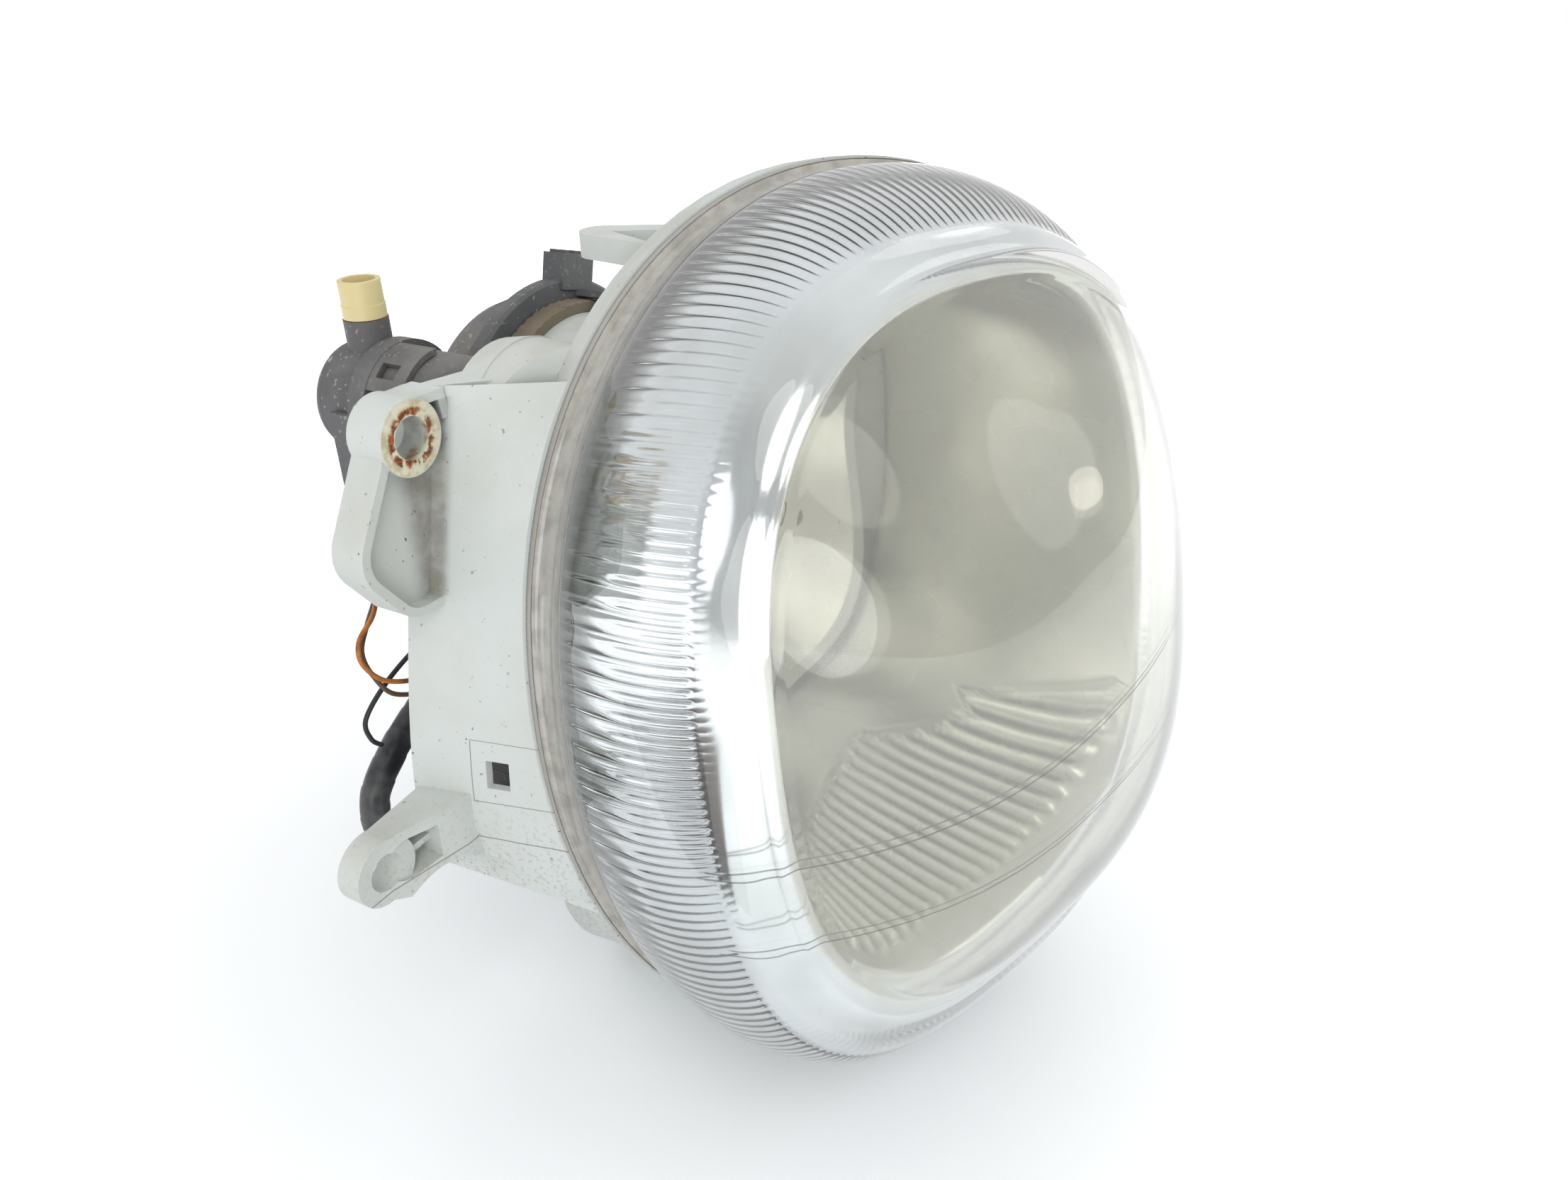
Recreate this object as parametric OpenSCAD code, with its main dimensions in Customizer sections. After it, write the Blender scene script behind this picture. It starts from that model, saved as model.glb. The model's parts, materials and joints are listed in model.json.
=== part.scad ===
// Car headlight: a swept, domed lamp with a levelling motor, seen from the front as +Z up, -Y forward.
// The origin is the mouth of the upper bolt hole. Millimetres throughout.

/* [Lens and rim] */
// Backward lean of the lens rim
rake = 10; // [6:1:14]
// Turn of the lens rim round the vertical
sweep = 30; // [24:1:34]
// Half width of the lens rim
rim_ax = 110; // [104:0.5:118]
// Half height of the lens rim
rim_ay = 137.5; // [130:0.5:146]
// Height of the skirt, from the rim to the end of its flutes
skirt_h = 53.5; // [44:0.5:64]
// Half width of the lens where the flutes end
seam_ax = 95.5; // [88:0.5:100]
// Half height of the lens where the flutes end
seam_ay = 113; // [104:0.5:120]
// Height of the front lip over the rim
lip_h = 66; // [56:0.5:78]
// Half width of the front lip
lip_ax = 86; // [76:0.5:92]
// Half height of the front lip
lip_ay = 100; // [90:0.5:108]
// Height of the dome over the lip
dome_h = 40; // [26:0.5:50]
// Wall of the lens
lens_wall = 3.2; // [2.4:0.1:4]
// Flutes round the skirt
flute_n = 96; // [48:24:96]
// Depth of a flute
flute_d = 1.1; // [0.5:0.1:1.6]

/* [Housing] */
// Wall of the housing
wall = 3; // [2.2:0.1:4]
// Depth of the ring that carries the lens
ring_h = 10; // [8:0.5:16]
// How far the ring stands out past the lens
ring_out = 1.2; // [0.6:0.1:3]
// Half width of the back of the bowl
back_ax = 72; // [68:0.5:78]
// Half height of the back of the bowl
back_az = 112; // [104:0.5:116]
// Depth of the housing's back behind the upper bolt face
back_y = 7; // [6:0.5:9]

/* [Mounting ears] */
// Bolt hole in both ears
bolt_d = 11.3; // [8:0.1:13]
// Round boss at each bolt hole
boss_d = 20.4; // [16:0.2:24]
// Depth of the upper ear
upper_ear_h = 12; // [9:0.5:16]
// How far the upper boss stands forward of its plate
boss_proud = 5.5; // [4:0.25:6]
// Depth of the lower ear at its hole
lower_ear_h = 8; // [6:0.5:12]
// Lower bolt hole, outboard of the upper one
lower_dx = 36; // [30:0.5:42]
// Lower bolt hole, below the upper one
lower_dz = 114.5; // [104:0.5:122]
// Thickness of the locating tongue on top
tongue_t = 7; // [5:0.25:10]

/* [Rear cover] */
// Radius of the neck that the cover closes
neck_r = 44; // [40:0.5:46]
// Radius of the cover's flange
cover_r = 54.5; // [51:0.5:57]
// Depth of the cover behind its flange
cover_h = 27; // [20:0.5:34]
// Turn that frees the cover's bayonet
cover_turn = 30; // [20:1:40]

/* [Levelling motor] */
// Radius of the motor's body
motor_r = 17; // [15:0.25:19]
// Length of the motor behind its shoulder
motor_len = 60; // [50:0.5:70]
// Outside diameter of the manual adjuster shaft
shaft_d = 12.4; // [10:0.2:15]
// Length of the adjuster shaft that shows
shaft_len = 11; // [7:0.25:14]
// Diameter of the ball studs
ball_d = 8; // [6:0.25:10]

/* [Reflector] */
// Half width of the reflector
mirror_ax = 59.5; // [54:0.5:61]
// Half height of the reflector
mirror_az = 67; // [62:0.5:70]
// Focal length of the reflector
focal = 24; // [20:0.5:30]
// Wall of the reflector
mirror_wall = 2.2; // [1.6:0.1:3]

/* [Fits] */
// Gap round a ball in its socket
ball_gap = 0.3; // [0.2:0.05:0.5]
// Gap round a turning shaft
turn_gap = 0.08; // [0.03:0.01:0.1]
// Gap where two pieces seat
seat_gap = 0.2; // [0.1:0.05:0.4]

/* [Hidden] */
$fn = 64;

// Centre of the lens rim, from the upper bolt hole
rim_c = [97.5, -81, -81];
// Main optical axis, which the reflector and the bulb share
axis_x = 104;
axis_z = -46;
// Back end of the round neck that the cover closes
neck_back = 42;
neck_x = 110;
neck_z = -44;
// Levelling motor's axis
motor_x = 42;
motor_z = -11;
// Points that hold the reflector: the motor's ball, the fixed ball and the side aim ball
pivot_x = 48;
pivot_y = -8;
pivot_z = -95;
aim_x = 156;
// Lowest level of the housing, which the lamp rests on
floor_z = -219;

// Axes of the lens rim: across, up and out of the front
e_x = [cos(sweep), -sin(sweep), 0];
e_y = [sin(sweep)*sin(rake), cos(sweep)*sin(rake), cos(rake)];
e_w = [-sin(sweep)*cos(rake), -cos(sweep)*cos(rake), sin(rake)];
ring_n = 96;
rim_ex = 2.13;
rim_turn = -4.7;
lip_ex = 2.55;
lip_tilt = -0.25;
lip_cy = 13;
seam_cy = 6;
skirt_arc = 55;

// An oval section of the lens: height, tilt, half sizes, exponent, turn and centre
rim_q = [0, 0, rim_ax, rim_ay, rim_ex, rim_turn, 0, 0];
seam_q = [skirt_h, lip_tilt, seam_ax, seam_ay, lip_ex, 0, 0, seam_cy];
lip_q = [lip_h, lip_tilt, lip_ax, lip_ay, lip_ex, 0, 0, lip_cy];
function inset(q, d, dw = 0) = [q[0] + dw, q[1], q[2] - d, q[3] - d, q[4], q[5], q[6], q[7]];
function mix(p, q, f, g) =
    [for (k = [0 : 7]) k < 2 ? p[k] + (q[k] - p[k])*g : p[k] + (q[k] - p[k])*f];
function skirt_q(u) = mix(rim_q, seam_q, (1 - cos(skirt_arc*u))/(1 - cos(skirt_arc)),
    sin(skirt_arc*u)/sin(skirt_arc));
function oval_r(t, ax, ay, ex) = pow(pow(abs(cos(t))/ax, ex) + pow(abs(sin(t))/ay, ex), -1/ex);
// Points of an oval section; every other point sits deeper where the wall is fluted
function ring(q, n = ring_n, flute = 0) = [for (i = [0 : n - 1])
    let (t = 360*i/n, r = oval_r(t, q[2], q[3], q[4]) - (i % 2)*flute,
         x = r*cos(t + q[5]) + q[6], y = r*sin(t + q[5]) + q[7])
    [x, y, q[0] + q[1]*x]];
function to_lens(p) = [(p - rim_c)*e_x, (p - rim_c)*e_y, (p - rim_c)*e_w];
function from_lens(p) = rim_c + p[0]*e_x + p[1]*e_y + p[2]*e_w;
// Triangles between two rings, where one may be a point or have twice the other's points
function strip(a, na, b, nb) =
    nb == 1 ? [for (i = [0 : na - 1]) [a + i, b, a + (i + 1) % na]] :
    na == 1 ? [for (i = [0 : nb - 1]) [a, b + i, b + (i + 1) % nb]] :
    na == nb ? [for (i = [0 : na - 1], k = [0, 1]) k == 0 ? [a + i, b + i, b + (i + 1) % nb]
        : [a + i, b + (i + 1) % nb, a + (i + 1) % na]] :
    nb == 2*na ? [for (i = [0 : na - 1], k = [0 : 2]) k == 0 ? [a + i, b + 2*i, b + 2*i + 1]
        : k == 1 ? [a + i, b + 2*i + 1, a + (i + 1) % na]
        : [a + (i + 1) % na, b + 2*i + 1, b + (2*i + 2) % nb]] :
    [for (i = [0 : nb - 1], k = [0 : 2]) k == 0 ? [b + i, a + 2*i + 1, a + 2*i]
        : k == 1 ? [b + i, b + (i + 1) % nb, a + 2*i + 1]
        : [b + (i + 1) % nb, a + (2*i + 2) % na, a + 2*i + 1]];
function sums(rings, i = 0, s = 0) = i > len(rings) ? [] : concat([s],
    i < len(rings) ? sums(rings, i + 1, s + len(rings[i])) : []);

// A skin over a list of rings, which ends in points or closes on itself
module skin(rings, loop = false) {
    at = sums(rings);
    m = len(rings);
    polyhedron([for (r = rings) each r],
        [for (i = [0 : loop ? m - 1 : m - 2]) let (j = (i + 1) % m)
            each strip(at[i], len(rings[i]), at[j], len(rings[j]))], convexity = 8);
}

module in_lens() {
    translate(rim_c) rotate([90 - rake, 0, -sweep]) children();
}

// A thin plate between four corners, thickened along v
module plate(p, v) {
    skin([[p[0]/4 + p[1]/4 + p[2]/4 + p[3]/4], p, [for (q = p) q + v],
        [p[0]/4 + p[1]/4 + p[2]/4 + p[3]/4 + v]]);
}

// Turns a child whose axis is +Z to look along -Y, and along +Y
module forward(p) { translate(p) rotate([90, 0, 0]) children(); }
module backward(p) { translate(p) rotate([-90, 0, 0]) children(); }

module tube(h, r, bore) {
    difference() {
        cylinder(h = h, r = r);
        translate([0, 0, -1]) cylinder(h = h + 2, r = bore);
    }
}

// Lens
foot_in = 3;
foot_t = 3;
foot_h = 6;
flange_h = 4;
flange_in = 3.2;
dome_steps = [0.94, 0.82, 0.62, 0.34];
function dome_q(r, d) = [lip_h - d, lip_tilt, (lip_ax - 3 - d)*r, (lip_ay - 3 - d)*r, lip_ex, 0, 0, lip_cy];
function dome_ring(r, d, n = ring_n) = [for (p = ring(dome_q(r, d), n)) p + [0, 0, 2.5 + dome_h*(1 - pow(r, 2.3))]];
module lens() {
    color([0.86, 0.89, 0.9, 0.35]) in_lens() skin(concat(
        [[[0, lip_cy, lip_h + dome_h + 2.5 - lens_wall]]],
        [for (k = [len(dome_steps) - 1 : -1 : 0]) dome_ring(dome_steps[k], lens_wall, ring_n)],
        [ring(inset(lip_q, lens_wall, -1)), ring(inset(seam_q, lens_wall, -0.5))],
        [for (u = [0.94, 0.58, 0.22]) ring(inset(skirt_q(u), lens_wall), 2*flute_n, flute_d)],
        [ring(inset(skirt_q(0.12), foot_in + foot_t)), ring(inset(rim_q, foot_in + foot_t, -foot_h))],
        [ring(inset(rim_q, foot_in, -foot_h)), ring(inset(rim_q, foot_in)), ring(rim_q),
         ring(inset(rim_q, 0, flange_h - 1)), ring(inset(rim_q, 1.5, flange_h)),
         ring(inset(skirt_q(0.11), flange_in))],
        [for (u = [0.35, 0.68]) ring(skirt_q(u))],
        [ring(seam_q), ring(mix(seam_q, lip_q, 0.55, 0.72)), ring(inset(lip_q, 0, 1)),
         ring(inset(lip_q, 1.6, 2.6))],
        [for (r = dome_steps) dome_ring(r, 0)],
        [[[0, lip_cy, lip_h + dome_h + 2.5]]]));
}

// Sealing bead that beds the lens foot in the housing's groove
groove_in = foot_in - 0.8;
groove_out = foot_in + foot_t + 0.8;
bead_h = 2.2;
bead_gap = 0.1;
module lens_seal() {
    color([0.55, 0.48, 0.42]) in_lens() skin([
        ring(inset(rim_q, groove_in + bead_gap, -foot_h - bead_h + bead_gap)),
        ring(inset(rim_q, groove_in + bead_gap, -foot_h - bead_gap)),
        ring(inset(rim_q, groove_out - bead_gap, -foot_h - bead_gap)),
        ring(inset(rim_q, groove_out - bead_gap, -foot_h - bead_h + bead_gap))], true);
}

// Housing bowl: from the ring behind the lens to a rounded back
bowl_in = 4;
back_ex = 3.6;
back_in = 5;
back_step = 0.4;
back_c = [98, back_y, floor_z + back_az - 1.5];
function back_ring(d, y, n = ring_n) = [for (i = [0 : n - 1])
    let (t = 360*i/n, r = oval_r(t, back_ax - d, back_az - d, back_ex))
    to_lens([back_c[0] + r*cos(t), y, back_c[2] + r*sin(t)])];
function mid_ring(a, b, f) = [for (i = [0 : len(a) - 1]) a[i] + (b[i] - a[i])*f];
module bowl() {
    front = ring(inset(rim_q, bowl_in, -ring_h));
    back = back_ring(0, back_y - 6);
    in_front = ring(inset(rim_q, groove_out + 2, -ring_h));
    in_back = back_ring(wall, back_y - 6);
    in_lens() skin([back_ring(back_in, back_y - back_step), back, mid_ring(back, front, 0.5), front,
        ring(inset(rim_q, -ring_out, -ring_h)), ring(inset(rim_q, -ring_out, -0.2)),
        ring(inset(rim_q, groove_in, -0.2)), ring(inset(rim_q, groove_in, -foot_h - bead_h)),
        ring(inset(rim_q, groove_out, -foot_h - bead_h)), ring(inset(rim_q, groove_out, -1)),
        ring(inset(rim_q, groove_out + 2, -1)), in_front, mid_ring(in_back, in_front, 0.5), in_back,
        back_ring(back_in + 2, back_y - wall), back_ring(back_in + 2, back_y - back_step)], true);
}

// Extrudes an outline drawn across X and Z from y0 back to y1
module slab_y(y0, y1) {
    translate([0, y1, 0]) rotate([90, 0, 0]) linear_extrude(y1 - y0) children();
}

// Round shoulder that takes the motor
shoulder_r = 24.3;
shoulder_back = 7;
shoulder_front = -2;
spigot_r = 14;
passage_r = 9.2;
module shoulder_outer() {
    backward([motor_x, -18.4, motor_z]) cylinder(h = 18, r = passage_r + 1.4);
    backward([motor_x, shoulder_front, motor_z])
        cylinder(h = shoulder_back - shoulder_front, r1 = shoulder_r + 1.5, r2 = shoulder_r);
}
// Roof that carries the shoulder forward to the ring, above the side web
module shoulder_roof() {
    intersection() {
        backward([motor_x, -40, motor_z]) cylinder(h = 40 + shoulder_front + 0.5, r = shoulder_r + 1.1);
        in_lens() translate([-200, -200, -ring_h - 99.7]) cube([400, 400, 100]);
        translate([0, -60, side_top - wall - 0.2]) cube([90, 80, 40]);
    }
}
module shoulder_inner() {
    backward([motor_x, -45, motor_z]) cylinder(h = 45 + shoulder_front + wall + 1, r = passage_r);
    backward([motor_x, shoulder_front + wall, motor_z])
        cylinder(h = shoulder_back - 2*wall - shoulder_front, r = shoulder_r - wall);
}

// Neck with three bayonet lugs
lug_r = neck_r + 2.6;
lug_y = 28;
lug_angles = [20, 140, 260];
module neck() {
    backward([neck_x, back_y - wall, neck_z]) cylinder(h = neck_back - back_y + wall, r = neck_r);
    for (a = lug_angles) translate([neck_x, lug_y, neck_z]) rotate([0, a, 0])
        translate([0, 0, neck_r - 1]) rotate([-90, 0, 0]) linear_extrude(3) square([12, 2*(lug_r - neck_r + 1)], center = true);
}

// Side wall that runs from the ring back to the plane of the ears
side_n = 12;
side_top = 9;
side_low = -140;
side_t0 = 217;
side_t1 = 137.5;
wall_back = upper_ear_h + 0.4;
web_in = 0.6;
function smooth(u) = u*u*(3 - 2*u);
function rear_x(f) = f < 0.86 ? 8 - 20*smooth(f/0.86) : -12 + 7*(f - 0.86)/0.14;
function rim_at(t, d, w) = let (r = oval_r(t, rim_ax - d, rim_ay - d, rim_ex))
    from_lens([r*cos(t + rim_turn), r*sin(t + rim_turn), w]);
module side_wall() {
    function row(a, b, c, d) = [a, b, b + (c - b)/3, b + (c - b)*2/3, c, d, d + (a - d)/3, d + (a - d)*2/3];
    rows = [for (i = [0 : side_n])
        let (g = i/side_n, t = side_t0 + (side_t1 - side_t0)*g, x = rear_x(1 - g), z = side_low + (side_top - side_low)*g)
        row(rim_at(t, -ring_out - 0.15, -0.7), rim_at(t, wall - ring_out - 0.4, -0.7),
            [x + wall, wall_back, z], [x, wall_back, z])];
    function middle(r) = (r[0] + r[1] + r[4] + r[5])/4;
    skin(concat([[middle(rows[0])]], rows, [[middle(rows[side_n])]]));
}
module side_webs() {
    a = rim_at(side_t1, -ring_out + 0.5, -ring_h + 1);
    top = side_top - wall - web_in;
    plate([[a[0], a[1], top], [58, -15, top], [46, back_y - wall - 1, top], [9, wall_back - web_in, top]], [0, 0, wall]);
    b = rim_at(side_t0, -ring_out + 0.5, -ring_h + 1);
    low = side_low + web_in;
    plate([[b[0], b[1], b[2] + web_in], [40, -38, b[2] + web_in], [40, back_y - wall - 1, low], [-3.8, wall_back - web_in, low]],
        [0, 0, wall]);
}
// Window for the bezel's snap tab
window = [7, 9];
window_at = [4.5, -14, -98.5];
module side_window() {
    translate(window_at) cube([24, window[0], window[1]], center = true);
}

// Upper ear: a plate with a rim behind it and a round boss that stands proud
module upper_outline(d = 0) {
    offset(delta = -d) hull() {
        translate([4, -2]) circle(r = 11.2, $fn = 32);
        translate([-9.8, -28]) circle(r = 12.3, $fn = 32);
        translate([-4, -38]) circle(r = 11, $fn = 32);
        polygon([[14, 9], [14, 8], [4, -49], [0, -49]]);
    }
}
module upper_ear() {
    difference() {
        slab_y(boss_proud, upper_ear_h) upper_outline();
        slab_y(boss_proud + wall, upper_ear_h + 1) upper_outline(2.6);
    }
    slab_y(1, boss_proud + 0.3) difference() {
        upper_outline();
        upper_outline(2.6);
        translate([7.3, -60]) square([20, 61]);
    }
    backward([0, 0, 0]) cylinder(h = upper_ear_h, d = boss_d);
}

// Lower ear: a ring on a tapering arm with webs top and bottom
lower_at = [-lower_dx, 0, -lower_dz];
module lower_ear() {
    difference() {
        hull() {
            backward(lower_at + [0, 2, 0]) cylinder(h = lower_ear_h - 2, d = boss_d - 1, $fn = 32);
            translate([-10.4, -5, -137]) cube([6, upper_ear_h + 4.3, 31]);
        }
        hull() {
            backward(lower_at + [7, -6, 0]) cylinder(h = 11, d = boss_d - 7, $fn = 32);
            translate([-20, -6, lower_at[2] - 5.5]) cube([1, 11, 11]);
        }
        backward(lower_at + [17, -9, -27]) cylinder(h = 30, r = 18, $fn = 48);
    }
    backward(lower_at) cylinder(h = lower_ear_h, d = boss_d);
    translate([lower_at[0] + 7, 1, lower_at[2] - 1]) cube([16, lower_ear_h - 1, 2]);
}

// Locating tongue on top, with a three-cornered recess
tongue_at = [81, -3, 29.5];
module tongue() {
    difference() {
        hull() {
            translate(tongue_at) cylinder(h = tongue_t, r = 7, $fn = 32);
            translate([70, -30, tongue_at[2]]) cube([32, 2, tongue_t]);
        }
        translate(tongue_at + [0, 0, tongue_t - 3]) linear_extrude(4) polygon([[0, -3], [-10, -27], [14, -27]]);
    }
}

module housing() {
    color([0.74, 0.77, 0.74]) difference() {
        union() {
            bowl();
            slab_y(back_y - wall + 0.3, back_y) back_outline(back_in + 1);
            shoulder_outer();
            shoulder_roof();
            neck();
            side_wall();
            side_webs();
            upper_ear();
            lower_ear();
            tongue();
        }
        shoulder_inner();
        backward([motor_x, 0, motor_z]) cylinder(h = back_y + 1, r = spigot_r + turn_gap);
        backward([neck_x, back_y - wall - 1, neck_z]) cylinder(h = 60, r = neck_r - wall);
        backward([0, -1, 0]) cylinder(h = upper_ear_h + 2, d = bolt_d);
        backward(lower_at + [0, -4, 0]) cylinder(h = upper_ear_h + 12, d = bolt_d);
        side_window();
        backward([pivot_x, back_y - wall - 1, pivot_z]) cylinder(h = wall + 2, d = stud_d);
        backward([aim_x, back_y - wall - 1, pivot_z]) cylinder(h = wall + 2, d = knob_d + 2*turn_gap);
        translate([-200, -300, floor_z - 20]) cube([500, 400, 20]);
    }
}
module back_outline(d) {
    polygon([for (i = [0 : 95]) let (t = 360*i/96, r = oval_r(t, back_ax - d, back_az - d, back_ex))
        [back_c[0] + r*cos(t), back_c[2] + r*sin(t)]]);
}

// Inner bezel: a bright liner that follows the skirt, turns at the lip and runs back to the reflector
bezel_t = 1.8;
bezel_gap = 4.5;
bezel_top = 0.85;
open_gap = 7;
open_y = -50;
shelf_flute = 1.3;
function open_ring(d, y, n, flute = 0) = [for (i = [0 : n - 1])
    let (t = 360*i/n, low = max(0, -sin(t) - 0.2) > 0 ? 1 : 0,
         r = oval_r(t, mirror_ax + open_gap + d, mirror_az + open_gap + d, 2.4) - (i % 2)*flute*low)
    to_lens([axis_x + r*cos(t), y, axis_z + r*sin(t)])];
function liner(u, d, n, flute = 0) = [for (i = [0 : n - 1])
    let (q = inset(skirt_q(u), lens_wall + bezel_gap + d), t = 360*i/n,
         low = max(0, -sin(t) - 0.2) > 0 ? 1 : 0,
         r = oval_r(t, q[2], q[3], q[4]) - (i % 2)*flute*low,
         x = r*cos(t + q[5]) + q[6], y = r*sin(t + q[5]) + q[7]) [x, y, q[0] + q[1]*x]];
module bezel() {
    n = 2*ring_n;
    color([0.8, 0.82, 0.84]) in_lens() skin([
        open_ring(bezel_t, open_y + 1, ring_n), liner(0.79, bezel_t, ring_n),
        liner(0.5, bezel_t, ring_n), liner(0.12, bezel_t, ring_n),
        liner(0.12, 0, ring_n), liner(0.5, 0, ring_n), liner(bezel_top, 0, ring_n),
        liner(bezel_top, 4, n, shelf_flute), open_ring(0, open_y, n, shelf_flute)], true);
}

// Tab that snaps into the window of the side wall
module snap_tab() {
    color([0.25, 0.25, 0.26]) difference() {
        translate(window_at + [4.9, 0, 0]) cube([4.6, window[0] - 1.2, window[1] - 1.2], center = true);
        translate(window_at + [2.4, 0.6, 1.4]) cube([3, 1.4, window[1]], center = true);
    }
}

// Knurled seal on the neck, and the cover that turns onto it
seal_w = 6;
module cover_seal() {
    color([0.42, 0.38, 0.33]) backward([neck_x, neck_back - seal_w, neck_z]) linear_extrude(seal_w + 1.6) difference() {
        polygon([for (i = [0 : 143]) let (r = neck_r + 3.4 + 0.5*(i % 2)) [r*cos(2.5*i), r*sin(2.5*i)]]);
        circle(r = neck_r + seat_gap/4);
    }
}
cover_y = neck_back + 2;
cup_r = neck_r + 3;
hook_r = neck_r + 4.5;
toe_t = 2.5;
lug_gap = 0.3;
module cover_hook(a) {
    translate([neck_x, lug_y - lug_gap - toe_t, neck_z]) rotate([0, a, 0]) {
        translate([-5, 0, hook_r]) cube([10, cover_y - lug_y + lug_gap + toe_t + 1, 2.4]);
        translate([-5, 0, neck_r + 0.8]) cube([10, toe_t, hook_r - neck_r]);
    }
}
module rear_cover() {
    color([0.33, 0.34, 0.35]) {
        backward([neck_x, cover_y, neck_z]) difference() {
            rotate_extrude($fn = 96) polygon([[0, 0], [cover_r - 1, 0], [cover_r, 1], [cover_r, 5], [cover_r - 1.5, 6.5],
                [cup_r + 1.5, 6.5], [cup_r, 8], [cup_r, cover_h - 8], [cup_r - 2, cover_h - 3],
                [cup_r - 7, cover_h], [0, cover_h]]);
            translate([0, 0, -1]) cylinder(h = 3, r = neck_r + seat_gap);
            translate([0, 0, 1]) cylinder(h = cover_h - wall - 1, r = neck_r - 1);
        }
        for (a = lug_angles) cover_hook(a);
        translate([neck_x, 0, neck_z]) rotate([0, 14, 0]) {
            translate([-8, cover_y - 1, cover_r - 4]) cube([16, 9, 12]);
            for (k = [-5, 0, 5]) translate([k - 1, cover_y, cover_r + 7]) cube([2, 7, 2]);
        }
        for (a = [0 : 30 : 150]) backward([neck_x, cover_y + cover_h - 0.5, neck_z]) rotate([0, 0, a])
            translate([-1, -cup_r + 9, 0]) cube([2, 2*cup_r - 18, 1.7]);
    }
}

// Levelling motor
motor_front = shoulder_back + seat_gap;
motor_back = motor_front + motor_len;
cap_h = 3;
leg = [23, 20, 50];
leg_at = [motor_x - motor_r, 40, motor_z - leg[2]];
spindle_r = 3;
tower_r = 6.6;
tower_y = 57.5;
tower_top = motor_z + motor_r + 8;
module motor_housing() {
    color([0.34, 0.35, 0.36]) difference() {
        union() {
            backward([motor_x, motor_front, motor_z]) cylinder(h = motor_len - cap_h, r = motor_r);
            backward([motor_x, motor_front, motor_z]) cylinder(h = 5, r = motor_r + 2);
            backward([motor_x, 0.5, motor_z]) cylinder(h = motor_front, r = spigot_r);
            translate(leg_at) cube(leg);
            translate([motor_x, tower_y, motor_z + 6]) cylinder(h = tower_top - motor_z - 6, r = tower_r);
        }
        backward([motor_x, 0, motor_z]) cylinder(h = 36, r = spindle_r + turn_gap);
        translate([motor_x, tower_y, tower_top - 12]) cylinder(h = 13, r = shaft_d/2 - 1.6 + turn_gap);
    }
}
module motor_end_cap() {
    color([0.37, 0.37, 0.38]) backward([motor_x, motor_back - cap_h, motor_z]) rotate_extrude()
        polygon([[0, 0], [motor_r, 0], [motor_r, cap_h - 2], [motor_r - 0.6, cap_h - 0.6], [motor_r - 2, cap_h], [0, cap_h]]);
}
// Sheet strap over the motor, with a window and a leg on the outboard side
strap_t = 2.2;
module strap_band(y0, y1, a0, a1, in = 0) {
    backward([motor_x, y0, motor_z]) rotate([0, 0, -a1]) rotate_extrude(angle = a1 - a0)
        translate([motor_r + seat_gap + in, 0]) square([strap_t - 2*in, y1 - y0]);
}
module motor_clip() {
    color([0.31, 0.32, 0.33]) difference() {
        union() {
            strap_band(44, 50.5 - seat_gap, 40, 180);
            strap_band(30, 46, 92, 150, 0.2);
            translate([leg_at[0] - seat_gap - strap_t - 0.25, 40, motor_z - 44]) cube([strap_t, 18, 45.5]);
        }
        translate([motor_x - 12, 38, motor_z + 14]) rotate([0, -35, 0]) cube([5, 7, 20], center = true);
    }
}
module motor_plug() {
    color([0.2, 0.2, 0.21]) translate([leg_at[0] + 2, leg_at[1] + 3, leg_at[2] - 9]) cube([18, 14, 9 - seat_gap/2]);
}
module ball_rod(p, back, r) {
    translate(p) sphere(d = ball_d);
    backward(p) cylinder(h = 12, r = ball_d/2 - 1.9);
    backward(p + [0, 11, 0]) cylinder(h = back - p[1] - 11, r = r);
}
module motor_spindle() {
    color([0.86, 0.86, 0.82]) ball_rod([motor_x, pivot_y, motor_z], 30, spindle_r);
}
module adjuster_shaft() {
    color([0.86, 0.8, 0.6]) translate([motor_x, tower_y, tower_top + seat_gap]) difference() {
        union() {
            translate([0, 0, -11]) cylinder(h = 12, r = shaft_d/2 - 1.6);
            cylinder(h = 4, r = tower_r - 0.2);
            cylinder(h = shaft_len, r = shaft_d/2);
        }
        translate([0, 0, 2]) cylinder(h = shaft_len, r = shaft_d/2 - 1.5);
    }
}

// Fixed ball stud, and the socket that turns on it
stud_d = 8;
module pivot_stud() {
    color([0.7, 0.7, 0.68]) {
        translate([pivot_x, pivot_y, pivot_z]) sphere(d = ball_d);
        backward([pivot_x, pivot_y, pivot_z]) cylinder(h = 12, r = ball_d/2 - 1.9);
        backward([pivot_x, pivot_y + 11, pivot_z]) cylinder(h = back_y - pivot_y - 9, d = stud_d - 2*turn_gap);
        backward([pivot_x, back_y + seat_gap/2, pivot_z]) cylinder(h = 3, d = stud_d + 6);
    }
}
socket_r = 8;
socket_front = 6.6;
socket_back = 3;
module ball_socket(p) {
    cavity = ball_d/2 + ball_gap;
    low = -asin(socket_back/cavity);
    forward(p) rotate_extrude() polygon(concat(
        [for (k = [0 : 12]) let (a = low + (90 - low)*k/12) cavity*[cos(a), sin(a)]],
        [[0, socket_front], [socket_r, socket_front], [socket_r, -socket_back]]));
}
module pivot_socket() { color([0.85, 0.85, 0.83]) ball_socket([pivot_x, pivot_y, pivot_z]); }
module motor_socket() { color([0.85, 0.85, 0.83]) ball_socket([motor_x, pivot_y, motor_z]); }
module aim_socket() { color([0.85, 0.85, 0.83]) ball_socket([aim_x, pivot_y, pivot_z]); }
knob_d = 12;
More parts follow.
